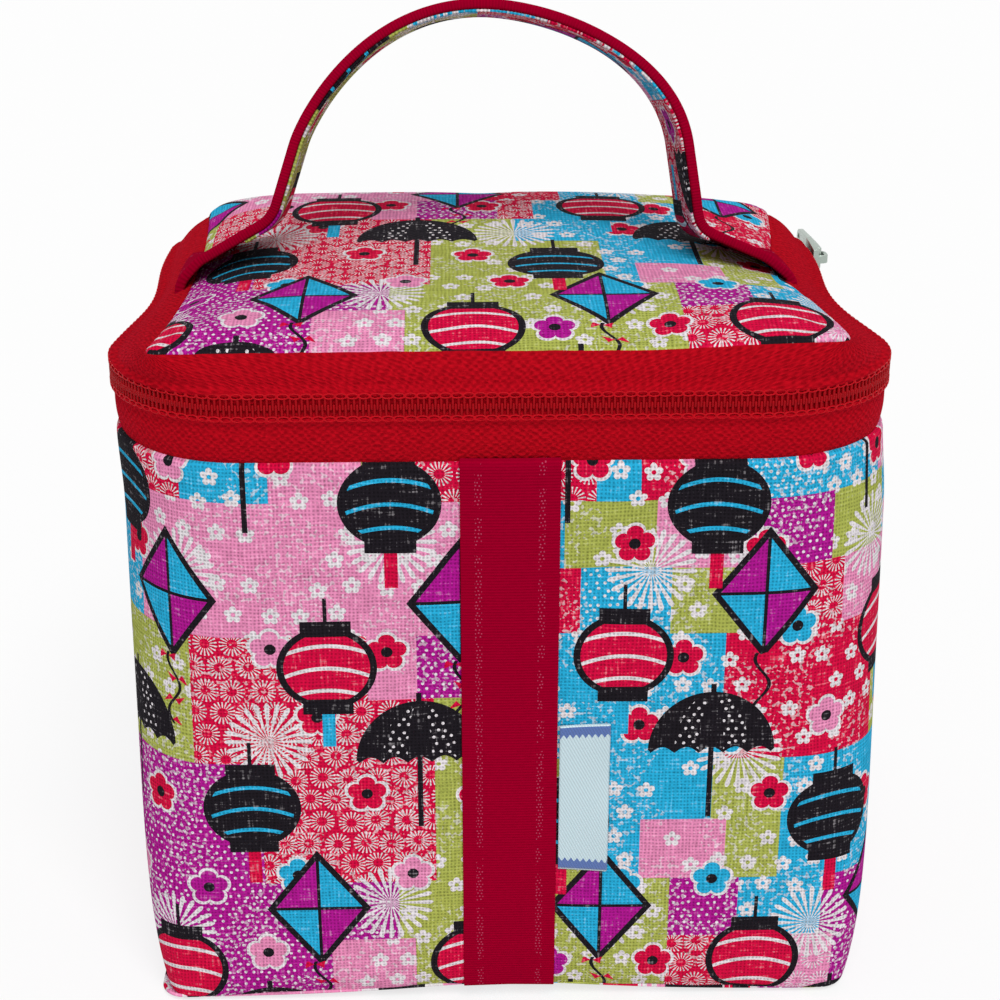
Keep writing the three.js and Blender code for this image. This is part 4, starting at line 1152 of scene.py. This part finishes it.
CLOTHS = {
    "canvas": ("Printed cotton canvas", printed_canvas),
    "tape": ("Woven polyester zip tape", zip_tape),
    "ribbon": ("Polyester grosgrain ribbon", grosgrain),
    "lining": ("Cotton lining cloth", lining_cloth),
    "wadding": ("Polyester wadding", wadding_fleece),
}


def cloth_material(kind):
    """The material of a kind of cloth."""
    return material_of(*CLOTHS[kind])


# Pieces


def wall_sheet(name, start, stop, low, high, inset, columns, rows, sewn=True):
    """A cloth that wraps the body from start to stop round its outline, between two heights, some way in."""
    run, whole = even_run(start, stop, wall_section(np.array(0.5 * WALL_TOP)))
    crowd = 0.75

    def place(across, up):
        z = lerp(low, high, up)
        x, y, nx, ny = bag_line(wall_section(z), run(across), z)
        x, y = x - nx * inset, y - ny * inset
        return x, y, z + base_rise(x, y, z)

    def proud(across, up):
        return -turned_in(edge_distance(across, up, whole, high - low))

    return cloth_grid(name, columns, rows, place, proud if sewn else None, crowd)


class VANITY_OT_body_canvas(bpy.types.Operator):
    """Cut, pad out and sew the front, back and base panels of printed canvas"""

    bl_idname = "vanity.body_canvas"
    bl_label = "Body canvas"

    def execute(self, context):
        shape = context.scene.bag_shape
        left, right = side_seams()
        low, high = 0.6 * MM, WALL_TOP - shape.seam_drop
        for name, start, stop, front in (
            ("front_canvas", left, right, True),
            ("back_canvas", 8 + right, left, False),
        ):
            piece = wall_sheet(name, start, stop, low, high, inset=0, columns=112, rows=58)
            sewn = border(piece).astype(float)
            if front:
                from_ribbon = np.abs(coordinates(piece.data)[:, 0] - RIBBON_MIDDLE)
                sewn = np.where(from_ribbon < RIBBON_HALF_WIDTH, 1.0, sewn)
            swell(piece, sewn, pressure=2.0, slack=0.004)
            finish_cloth(piece, cloth_material("canvas"), shape.canvas, levels=1)
            place_on(piece, "body", "printed_canvas", "front_panel" if front else "back_panel")
            flat_size(piece)

        section = wall_section(np.array(low))

        def place(across, up):
            x, y, _ = plate(across, 1 - up, section)
            return x, y, low + base_rise(x, y, 0 * x)

        def proud(across, up):
            return -turned_in(edge_distance(across, up, 2 * BASE.x, 2 * BASE.y)) / 2

        base = cloth_grid("base_canvas", 60, 46, place, proud, crowd=0.6)
        finish_cloth(base, cloth_material("canvas"), shape.canvas)
        place_on(base, "body", "printed_canvas", "base_panel")
        flat_size(base)
        return {"FINISHED"}


class VANITY_OT_body_wadding(bpy.types.Operator):
    """Lay the wadding between the canvas and the lining"""

    bl_idname = "vanity.body_wadding"
    bl_label = "Body wadding"

    def execute(self, context):
        shape = context.scene.bag_shape
        left, right = side_seams()
        low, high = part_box("front_padding")[0].z, WALL_TOP - 5 * MM
        gap = 0.01
        for name, start, stop, node in (
            ("front_wadding", left - gap, right + gap, "front_padding"),
            ("back_wadding", 8 + right - gap, left + gap, "back_padding"),
        ):
            inset = shape.wadding_inset
            piece = wall_sheet(name, start, stop, low, high, inset, columns=70, rows=36, sewn=False)
            finish_cloth(piece, cloth_material("wadding"), shape.wadding, bevel=1.2 * MM)
            place_on(piece, "body", "wadding", node)
        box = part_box("base_padding")
        section = (box[1].x, box[1].y, shape.base_corner, shape.base_corner)

        def place(across, up):
            x, y, _ = plate(across, up, section)
            return x, y, box[1].z + base_rise(x, y, 0 * x) * 0.5

        base = cloth_grid("base_wadding", 40, 30, place)
        finish_cloth(base, cloth_material("wadding"), box[1].z - box[0].z - 0.6 * MM, bevel=0.8 * MM)
        place_on(base, "body", "wadding", "base_padding")
        return {"FINISHED"}


class VANITY_OT_body_lining(bpy.types.Operator):
    """Sew the plain lining into the body, up to the zip"""

    bl_idname = "vanity.body_lining"
    bl_label = "Body lining"

    def execute(self, context):
        shape = context.scene.bag_shape
        _, right = side_seams()
        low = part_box("body_lining")[0].z - 0.8 * MM
        high = LOWER_TAPE[1].z - 1.5 * MM
        run, _ = even_run(8 + right, right, wall_section(np.array(0.5 * WALL_TOP)))
        zip_inset = 2.6 * MM

        def place(across, up):
            z = lerp(low, high, up)
            near_zip = smooth_step(WALL_TOP - 16 * MM, WALL_TOP + 4 * MM, z)
            inset = lerp(shape.lining_inset, zip_inset, near_zip)
            x, y, nx, ny = bag_line(wall_section(z), run(across), z)
            x, y = x - nx * inset, y - ny * inset
            return x, y, z + base_rise(x, y, z) * 0.5

        ring = cloth_grid("body_lining_cloth", 160, 40, place)
        merge_points(ring)
        finish_cloth(ring, cloth_material("lining"), shape.lining)
        place_on(ring, "body", "lining_cloth", "body_lining")
        flat_size(ring)
        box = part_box("base_lining")
        corner, sunk = 8 * MM, 0.7 * MM
        section = (box[1].x, box[1].y, corner, corner)

        def floor(across, up):
            x, y, edge = plate(across, up, section)
            return x, y, box[1].z - sunk * edge**8 + base_rise(x, y, 0 * x) * 0.5

        base = cloth_grid("base_lining_cloth", 50, 38, floor, crowd=0.5)
        finish_cloth(base, cloth_material("lining"), shape.lining)
        place_on(base, "body", "lining_cloth", "base_lining")
        flat_size(base)
        return {"FINISHED"}


class VANITY_OT_lid(bpy.types.Operator):
    """Sew the crowned lid: canvas, wadding and lining"""

    bl_idname = "vanity.lid"
    bl_label = "Lid"

    def execute(self, context):
        shape = context.scene.bag_shape

        def dome(inset, drop, crown):
            section = [part - inset for part in seam_section()[:2]] + list(seam_section()[2:])

            def place(across, up):
                x, y, edge = plate(across, up, section)
                x = x * (1 - side_pinch(x, y, LID_EDGE) / LID[1].x)
                return x, y, LID_EDGE - drop + crown * (1 - edge**4) + lid_lift(x, y)

            return place

        def proud(across, up):
            return -turned_in(edge_distance(across, up, 2 * LID[1].x, 2 * LID[1].y))

        top = dome(inset=0, drop=0, crown=shape.crown)
        canvas = cloth_grid("lid_canvas", 84, 66, top, proud, crowd=0.7)
        swell(canvas, border(canvas).astype(float), pressure=1.5, slack=0.003)
        finish_cloth(canvas, cloth_material("canvas"), shape.canvas, levels=1)
        place_on(canvas, "lid", "printed_canvas", "lid_panel")

        middle = dome(inset=3 * MM, drop=1.6 * MM, crown=shape.crown - 0.4 * MM)
        wadding = cloth_grid("lid_wadding", 50, 40, middle)
        finish_cloth(wadding, cloth_material("wadding"), shape.wadding, bevel=1.2 * MM)
        place_on(wadding, "lid", "wadding", "lid_padding")

        lining_drop = 5.6 * MM
        under = dome(inset=2.5 * MM, drop=lining_drop, crown=shape.crown - 1 * MM)
        lining = cloth_grid("lid_lining_cloth", 60, 46, lambda a, u: under(a, 1 - u))
        _, right = side_seams()
        run, _ = even_run(8 + right, right, top_section())
        low, high = UPPER_COIL[1].z + 1 * MM, LID_EDGE - lining_drop + 0.6 * MM
        below, above = 2.6 * MM, 4.6 * MM

        def band(across, up):
            zip_x, zip_y, zip_nx, zip_ny = bag_line(top_section(), run(across), low)
            seam_x, seam_y, seam_nx, seam_ny = bag_line(seam_section(), run(across), LID_EDGE)
            x = lerp(zip_x - zip_nx * below, seam_x - seam_nx * above, up)
            y = lerp(zip_y - zip_ny * below, seam_y - seam_ny * above, up)
            return x, y, lerp(low, high, up) + lid_lift(x, y) * up**2

        ring = cloth_grid("lid_lining_band", 160, 8, band)
        merge_points(ring)
        for piece in (lining, ring):
            finish_cloth(piece, cloth_material("lining"), shape.lining)
        join(lining, ring)
        place_on(lining, "lid", "lining_cloth", "lid_lining")
        return {"FINISHED"}


class VANITY_OT_zip_tapes(bpy.types.Operator):
    """Weave the two zip tapes and the cloth strip that hinges the lid"""

    bl_idname = "vanity.zip_tapes"
    bl_label = "Zip tapes"

    def execute(self, context):
        zip_shape = context.scene.zip_shape
        left, right = zip_ends()
        run, _ = even_run(left, right, top_section())
        low = LOWER_TAPE[0].z - 1.6 * MM - context.scene.bag_shape.seam_drop
        apart, behind = 0.15 * MM, 0.15 * MM
        high = ZIP_MIDDLE - apart
        stitch = LOWER_COIL[0].z
        ridge_width, puff_start = 0.9 * MM, 2.6 * MM

        def lower(across, up):
            z = lerp(low, high, up)
            x, y, _, _ = bag_line(top_section(), run(across), z)
            return x, y, z

        def lower_proud(across, up):
            z = lerp(low, high, up)
            swelling = np.clip((z - low) / (stitch - puff_start - low), 0, 1)
            puff = zip_shape.lower_puff * np.sin(np.pi * swelling)
            ridge = zip_shape.ridge * np.exp(-(((z - stitch + ridge_width) / ridge_width) ** 2))
            tuck = behind * smooth_step(stitch - 0.2 * MM, stitch + ridge_width, z)
            leaning = zip_shape.lower_lean * np.clip((stitch - z) / (stitch - low), 0, 1)
            return puff + ridge - tuck - leaning - turned_in(z - low)

        tape = cloth_grid("lower_tape", 240, 34, lower, lower_proud, crowd=0.4, ruled=True)
        finish_cloth(tape, cloth_material("tape"), zip_shape.tape)
        place_on(tape, "body", "red_tape", "lower_zip_tape")
        flat_size(tape)

        upper_low, seam = ZIP_MIDDLE + apart, UPPER_TAPE[1].z + 0.5 * MM
        upper_stitch = UPPER_COIL[1].z
        crowd_up = 0.8

        def upper(across, up):
            z = lerp(upper_low, seam, up**crowd_up)
            x, y, _, _ = bag_line(band_section(z), run(across), z)
            return x, y, z + lid_lift(x, y) * up**2

        def upper_proud(across, up):
            z = lerp(upper_low, seam, up**crowd_up)
            start = upper_stitch + puff_start
            puff = zip_shape.upper_puff * np.sin(np.pi * np.clip((z - start) / (seam - start), 0, 1))
            ridge = zip_shape.ridge * np.exp(-(((z - upper_stitch - ridge_width) / ridge_width) ** 2))
            tuck = behind * smooth_step(upper_stitch + 0.2 * MM, upper_stitch - ridge_width, z)
            return puff + ridge - tuck - turned_in((seam - z) * 2)

        band = cloth_grid("upper_tape", 240, 34, upper, upper_proud, crowd=0.4, ruled=True)
        finish_cloth(band, cloth_material("tape"), zip_shape.tape)
        place_on(band, "lid", "red_tape", "upper_zip_tape")
        flat_size(band)

        gap = 0.02
        back_run, _ = even_run(8 + right - gap, left + gap, top_section())

        def strip(across, up):
            z = lerp(low, seam, up)
            x, y, _, _ = bag_line(band_section(z), back_run(across), z)
            return x, y, z + lid_lift(x, y) * up**2

        def strip_proud(across, up):
            z = lerp(low, seam, up)
            return zip_shape.lower_puff * np.sin(np.pi * up) - turned_in(z - low) - turned_in((seam - z) * 2)

        hinge = cloth_grid("hinge_strip", 120, 40, strip, strip_proud, crowd=0.4, ruled=True)
        finish_cloth(hinge, cloth_material("tape"), zip_shape.tape)
        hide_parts("lower_hinge_strip", "upper_hinge_strip")
        flat_size(hinge)
        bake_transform(hinge)
        return {"FINISHED"}


def zip_guide(offset):
    """A guide curve along the zip's run, from its left end round the front to its right end."""
    left, right = zip_ends()
    run, whole = even_run(left, right, top_section())
    steps = 400
    x, y, nx, ny = bag_line(top_section(), run(np.linspace(0, 1, steps)), ZIP_MIDDLE)
    data = bpy.data.curves.new("zip_guide", "CURVE")
    data.dimensions = "2D"
    spline = data.splines.new("POLY")
    spline.points.add(steps - 1)
    flat = np.stack([x + nx * offset, y + ny * offset, 0 * x, 0 * x + 1], axis=1)
    spline.points.foreach_set("co", flat.ravel())
    guide = bpy.data.objects.new("zip_guide", data)
    bpy.context.scene.collection.objects.link(guide)
    return guide, whole


def run_along_zip(link, pitch, first, offset):
    """Repeats one link along the zip's run, and bends the row round the corners."""
    guide, whole = zip_guide(offset)
    row = link.modifiers.new("row", "ARRAY")
    row.use_relative_offset = False
    row.use_constant_offset = True
    row.constant_offset_displace = (pitch, 0, 0)
    row.count = int((whole - 2 * first) / pitch)
    bend = link.modifiers.new("bend", "CURVE")
    bend.object = guide
    bend.deform_axis = "POS_X"
    apply_all(link)
    bpy.ops.object.shade_smooth()
    bpy.data.objects.remove(guide)


class VANITY_OT_zip_coil(bpy.types.Operator):
    """Wind the two rows of the coil and the chain stitches that hold them"""

    bl_idname = "vanity.zip_coil"
    bl_label = "Zip coil"

    def execute(self, context):
        zip_shape = context.scene.zip_shape
        tones = context.scene.bag_colours
        pitch, step = zip_shape.coil_pitch, zip_shape.stitch_pitch
        reach, forward = 0.75 * MM, 0.2 * MM
        rounding, overlap = 0.42, 0.52
        beyond, sunk = 0.3 * MM, 0.25 * MM
        coil = material_of("Nylon zip coil", nylon, "Nylon zip coil", tones.coil)
        thread = material_of("Polyester sewing thread", nylon, "Polyester sewing thread", tones.thread)
        for name, body, node, low, high, start in (
            ("lower_coil", "body", "lower_zip_coil", LOWER_COIL[0].z, ZIP_MIDDLE + reach, pitch),
            ("upper_coil", "lid", "upper_zip_coil", ZIP_MIDDLE - reach, UPPER_COIL[1].z, 1.5 * pitch),
        ):
            bpy.ops.object.select_all(action="DESELECT")
            bpy.ops.mesh.primitive_cube_add(size=1, location=(start, -forward, (low + high) / 2))
            bar = context.active_object
            bar.name = name
            bar.data.name = name
            bar.scale = (zip_shape.coil_bar, zip_shape.coil_depth, high - low)
            bpy.ops.object.transform_apply(location=True, rotation=True, scale=True)
            edge = bar.modifiers.new("round", "BEVEL")
            edge.width = zip_shape.coil_bar * rounding
            edge.segments = 2
            run_along_zip(bar, pitch, start, 0)
            bar.data.materials.append(coil)
            place_on(bar, body, "red_nylon", node)
        for name, body, height in (
            ("lower_stitches", "body", LOWER_COIL[0].z - beyond),
            ("upper_stitches", "lid", UPPER_COIL[1].z + beyond),
        ):
            bpy.ops.object.select_all(action="DESELECT")
            bpy.ops.mesh.primitive_torus_add(
                major_segments=12,
                minor_segments=5,
                major_radius=1,
                minor_radius=zip_shape.thread / zip_shape.stitch_height,
                location=(step, 0, height),
                rotation=(QUARTER, 0, 0),
            )
            loop = context.active_object
            loop.name = name
            loop.data.name = name
            loop.scale = (step * overlap, zip_shape.stitch_height / 2, zip_shape.stitch_height / 2)
            bpy.ops.object.transform_apply(location=True, rotation=True, scale=True)
            run_along_zip(loop, step, step, zip_shape.ridge - sunk)
            loop.data.materials.append(thread)
            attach(loop, body)
        return {"FINISHED"}


class VANITY_OT_front_ribbon(bpy.types.Operator):
    """Sew the grosgrain ribbon down the middle of the front"""

    bl_idname = "vanity.front_ribbon"
    bl_label = "Front ribbon"

    def execute(self, context):
        low, high = 0.8 * MM, WALL_TOP - 0.4 * MM
        thickness, edge = 0.7 * MM, 0.25 * MM
        seat, crown = 0.95 * MM, 0.3 * MM

        def place(across, up):
            z = lerp(low, high, up)
            x = lerp(RIBBON[0].x, RIBBON[1].x, across)
            y = -wall_section(z)[1] - seat + 0 * x
            return x, y, z + base_rise(x, y, z)

        def proud(across, up):
            return crown * np.sin(np.pi * across) - turned_in(np.minimum(up, 1 - up) * (high - low))

        ribbon = cloth_grid("front_ribbon_cloth", 20, 80, place, proud, crowd=0.5)
        finish_cloth(ribbon, cloth_material("ribbon"), thickness, bevel=edge)
        place_on(ribbon, "body", "red_ribbon", "front_ribbon")
        return {"FINISHED"}


class VANITY_OT_label(bpy.types.Operator):
    """Fold the woven label and tuck it under the ribbon's edge"""

    bl_idname = "vanity.label"
    bl_label = "Woven label"

    def execute(self, context):
        left, right = LABEL[0].x - 0.3 * MM, LABEL[1].x
        low, high = LABEL[0].z - 3.7 * MM, LABEL[1].z - 3 * MM
        skew = 1 * MM
        ply = 0.3 * MM
        fold, seat = 0.35 * MM, 0.35 * MM
        curl = 0.9 * MM
        width = right - left
        turn = math.pi * fold
        flat = 2 * width + turn

        def place(across, up):
            run = across * flat
            z = lerp(low, high, up)
            on_top = np.clip(run, 0, width)
            round_fold = np.clip((run - width) / turn, 0, 1) * math.pi
            back_run = np.clip(run - width - turn, 0, width)
            x = left + on_top - back_run + fold * np.sin(round_fold)
            rise = fold * (1 + np.cos(round_fold))
            reach = np.clip((x - left) / width, 0, 1)
            lifted = curl * reach**2 * (0.6 + 0.4 * np.cos(3 * np.pi * (up - 0.3)))
            y = -wall_section(z)[1] - seat - rise - lifted
            return x, y, z - skew * reach * (1 - 2 * up)

        label = cloth_grid("label_cloth", 44, 40, place)
        finish_cloth(label, material_of("Woven satin label", label_satin, flat_size(label)[1]), ply)
        place_on(label, "label", "label_satin", "woven_label")
        return {"FINISHED"}


def half_strap(side):
    """The middle line of half the upright strap, from its seam over its kink to the crown, as x and z."""
    shape = bpy.context.scene.handle_shape
    parts = ("foot", "kink", "drop", "slope", "leg", "shoulder", "level")
    sizes = [getattr(shape, f"{side}_{part}") for part in parts]
    foot_reach, kink_reach, drop, slope, leg, shoulder, level = sizes
    tuck, slant = 3.5 * MM, 0.2
    sunk, foot_round = 0.6 * MM, 2 * MM
    foot = np.array([foot_reach, LID_EDGE - sunk])
    end = foot - (slant * tuck, tuck)
    kink = np.array([kink_reach, PIVOT_RISE - drop])
    shift = shape.crown_shift if side == "left" else -shape.crown_shift
    crown = np.array([shift, PIVOT_RISE + shape.crown_rise])
    rising = np.array([-math.cos(slope), math.sin(slope)])
    spring = kink + leg * rising
    outward = (foot - kink) / np.linalg.norm(foot - kink)
    below, above = kink + outward * shape.kink_radius, kink + rising * shape.kink_radius
    before = foot - outward * foot_round
    steps = 60
    t = np.linspace(0, 1, steps)[:, None]

    def bend(a, b, c):
        return a * (1 - t) ** 2 + 2 * b * t * (1 - t) + c * t * t

    arch = spring * (1 - t) ** 3 + crown * t**3
    arch = arch + 3 * t * (1 - t) * ((spring + shoulder * rising) * (1 - t) + (crown + (level, 0)) * t)
    lying = bend(before, (before + below) / 2, below)
    standing = bend(above, (above + spring) / 2, spring)
    stretches = (bend(end, foot, before), lying, bend(below, kink, above), standing, arch)
    return np.concatenate([stretches[0], *[stretch[1:] for stretch in stretches[1:]]])


def strap_line(count):
    """The upright strap's middle line from left seam to right seam, its outward normals and its length."""
    left = half_strap("left") * (-1, 1)
    right = half_strap("right")
    line = np.concatenate([left, right[-2::-1]])
    run = np.concatenate([[0], np.cumsum(np.linalg.norm(np.diff(line, axis=0), axis=1))])
    even = np.linspace(0, run[-1], count)
    points = np.stack([np.interp(even, run, line[:, i]) for i in (0, 1)], axis=1)
    tangent = np.gradient(points, axis=0)
    tangent /= np.linalg.norm(tangent, axis=1)[:, None]
    return points, np.stack([-tangent[:, 1], tangent[:, 0]], axis=1), run[-1]


class VANITY_OT_handle(bpy.types.Operator):
    """Fold the strap handle: ribbon outside, printed canvas inside"""

    bl_idname = "vanity.handle"
    bl_label = "Handle"

    def execute(self, context):
        shape = context.scene.handle_shape
        steps = shape.samples
        points, normals, whole = strap_line(steps + 1)
        sewn_height = 3 * MM

        # The lining ends a little below each kink
        kinks = np.nonzero(points[:, 1] > PIVOT_RISE - shape.right_drop - 2 * MM)[0]
        lined = kinks[0], kinks[-1]

        def strap(offset, half_width, first, last):
            def place(across, up):
                index = np.rint(lerp(first, last, up)).astype(int)
                x = points[index, 0] + normals[index, 0] * offset
                z = points[index, 1] + normals[index, 1] * offset
                y = lerp(half_width, -half_width, across)
                x = x - y * math.tan(shape.twist) * smooth_step(0.5, 1, points[index, 0] / shape.right_kink)
                roll = shape.lean * smooth_step(-0.3, 1, (points[index, 1] - LID_EDGE) / sewn_height)
                rise = np.maximum(z - PIVOT_RISE, 0)
                back = y * np.cos(roll) + rise * np.sin(roll)
                return x, back, z - rise * (1 - np.cos(roll)) - y * np.sin(roll)

            return place

        crown = 0.3 * MM
        margin = 0.4 * MM
        outer = strap(0, STRAP_HALF_WIDTH, 0, steps)
        ribbon = cloth_grid("strap_ribbon", 10, steps, outer, lambda a, u: crown * np.sin(np.pi * a))
        finish_cloth(ribbon, cloth_material("ribbon"), shape.ribbon, inwards=False, bevel=0.7 * MM)
        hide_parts("handle_ribbon", "strap_end_left", "strap_end_right")
        inner = strap(-0.05 * MM, STRAP_HALF_WIDTH - margin, *lined)
        lining = cloth_grid("strap_lining", 10, lined[1] - lined[0], inner)
        finish_cloth(lining, cloth_material("canvas"), shape.lining, bevel=0.4 * MM)
        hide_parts("handle_lining")
        flat_size(lining)
        for piece in (ribbon, lining):
            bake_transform(piece)
        return {"FINISHED"}


class VANITY_OT_slider(bpy.types.Operator):
    """Cast the zip slider and its pull"""

    bl_idname = "vanity.slider"
    bl_label = "Slider and pull"

    def execute(self, context):
        metal = material_of("Nickel plated zinc casting", plated_zinc)
        for node, name, body in (
            ("zip_slider", "slider_casting", "slider"),
            ("zip_pull", "pull_tab", "pull"),
        ):
            casting = bpy.data.objects.new(name, frame["nodes"][node].data.copy())
            casting.data.name = name
            context.scene.collection.objects.link(casting)
            merge_points(casting)
            round_edges(casting, 0.22 * MM, sharper_than=35)
            apply_all(casting)
            bpy.ops.object.shade_smooth_by_angle(angle=math.radians(30))
            cover(casting, metal)
            place_on(casting, body, "cast_zinc", node)
        return {"FINISHED"}


class VANITY_OT_stage(bpy.types.Operator):
    """Lay the floor, hang the lights and place the camera"""

    bl_idname = "vanity.stage"
    bl_label = "Stage"

    def seen_directly(self, tree):
        """1 for a ray from the camera, off a mirror or through glass, and 0 for a ray of light."""
        path = add(tree, "ShaderNodeLightPath").outputs
        seen = add(tree, MATH, {0: path["Is Camera Ray"], 1: path["Is Glossy Ray"]}, operation="MAXIMUM")
        return add(tree, MATH, {0: seen, 1: path["Is Transmission Ray"]}, operation="MAXIMUM")

    def execute(self, context):
        scene = context.scene
        bpy.ops.object.select_all(action="DESELECT")
        floor_size, clear = 8, 0.1 * MM
        bpy.ops.mesh.primitive_plane_add(size=floor_size, location=(0, 0, -clear))
        floor = context.active_object
        floor.name = "floor"
        material, tree, shader = new_material("White studio paper")
        paper_white = tint(linear("#F2F2F2"))
        feed(tree, shader, {"Base Color": paper_white, "Roughness": 1.0, "Specular IOR Level": 0.0})
        # The paper is overexposed to white where it is seen, and keeps a faint shadow
        white_share = 0.74
        seen = self.seen_directly(tree)
        share = add(tree, MATH, {0: seen, 1: white_share}, operation="MULTIPLY")
        glow = add(tree, "ShaderNodeEmission", {"Color": (1, 1, 1, 1), "Strength": 1.0})
        paper = add(tree, "ShaderNodeMixShader", {0: share, 1: shader, 2: glow})
        output = [node for node in tree.nodes if node.type == "OUTPUT_MATERIAL"][0]
        feed(tree, output, {"Surface": paper})
        floor.data.materials.append(material)

        world = bpy.data.worlds.new("studio")
        scene.world = world
        world.use_nodes = True
        sky = world.node_tree
        sky.nodes.clear()
        soft_light, white = 0.42, 1.0
        strengths = {"Factor": self.seen_directly(sky), "A": soft_light, "B": white}
        strength = add(sky, MIX, strengths, data_type="FLOAT")
        glow = add(sky, "ShaderNodeBackground", {"Color": (1, 1, 1, 1), "Strength": strength})
        add(sky, "ShaderNodeOutputWorld", {"Surface": glow})

        data = bpy.data.lights.new("key", "SUN")
        data.energy = 2.4
        data.angle = math.radians(35)
        key = bpy.data.objects.new("key", data)
        scene.collection.objects.link(key)
        shining = Vector((-0.12, 0.65, -1.0))
        key.rotation_euler = shining.to_track_quat("-Z", "Y").to_euler()

        camera = bpy.data.cameras.new("camera")
        camera.sensor_width = 36
        camera.lens = 68.4
        eye = bpy.data.objects.new("camera", camera)
        scene.collection.objects.link(eye)
        eye.location = (-0.0105, -0.504, 0.336)
        pitch, yaw = math.radians(23.0), math.radians(1.4)
        level = math.cos(pitch)
        forward = Vector((math.sin(yaw) * level, math.cos(yaw) * level, -math.sin(pitch)))
        eye.rotation_euler = forward.to_track_quat("-Z", "Y").to_euler()
        scene.camera = eye
        scene.view_settings.view_transform = "Standard"
        return {"FINISHED"}


PIECES = (
    VANITY_OT_body_canvas,
    VANITY_OT_body_wadding,
    VANITY_OT_body_lining,
    VANITY_OT_lid,
    VANITY_OT_zip_tapes,
    VANITY_OT_zip_coil,
    VANITY_OT_front_ribbon,
    VANITY_OT_label,
    VANITY_OT_handle,
    VANITY_OT_slider,
    VANITY_OT_stage,
)


class VANITY_PT_panel(bpy.types.Panel):
    """Lists the pieces of the bag"""

    bl_idname = "VANITY_PT_panel"
    bl_label = "Vanity bag"
    bl_space_type = "VIEW_3D"
    bl_region_type = "UI"
    bl_category = "Vanity bag"

    def draw(self, context):
        for piece in PIECES:
            self.layout.operator(piece.bl_idname)


GROUPS = {
    "bag_shape": BagShape,
    "zip_shape": ZipShape,
    "handle_shape": HandleShape,
    "bag_colours": BagColours,
}


def register():
    for group in GROUPS.values():
        bpy.utils.register_class(group)
    for name, group in GROUPS.items():
        setattr(bpy.types.Scene, name, PointerProperty(type=group))
    for piece in (*PIECES, VANITY_PT_panel):
        bpy.utils.register_class(piece)


def unregister():
    for piece in (VANITY_PT_panel, *reversed(PIECES)):
        bpy.utils.unregister_class(piece)
    for name in GROUPS:
        delattr(bpy.types.Scene, name)
    for group in reversed(GROUPS.values()):
        bpy.utils.unregister_class(group)


def main():
    """Makes every piece in order."""
    register()
    for piece in PIECES:
        family, name = piece.bl_idname.split(".")
        getattr(getattr(bpy.ops, family), name)()
    bpy.context.view_layer.update()


if __name__ == "__main__":
    main()
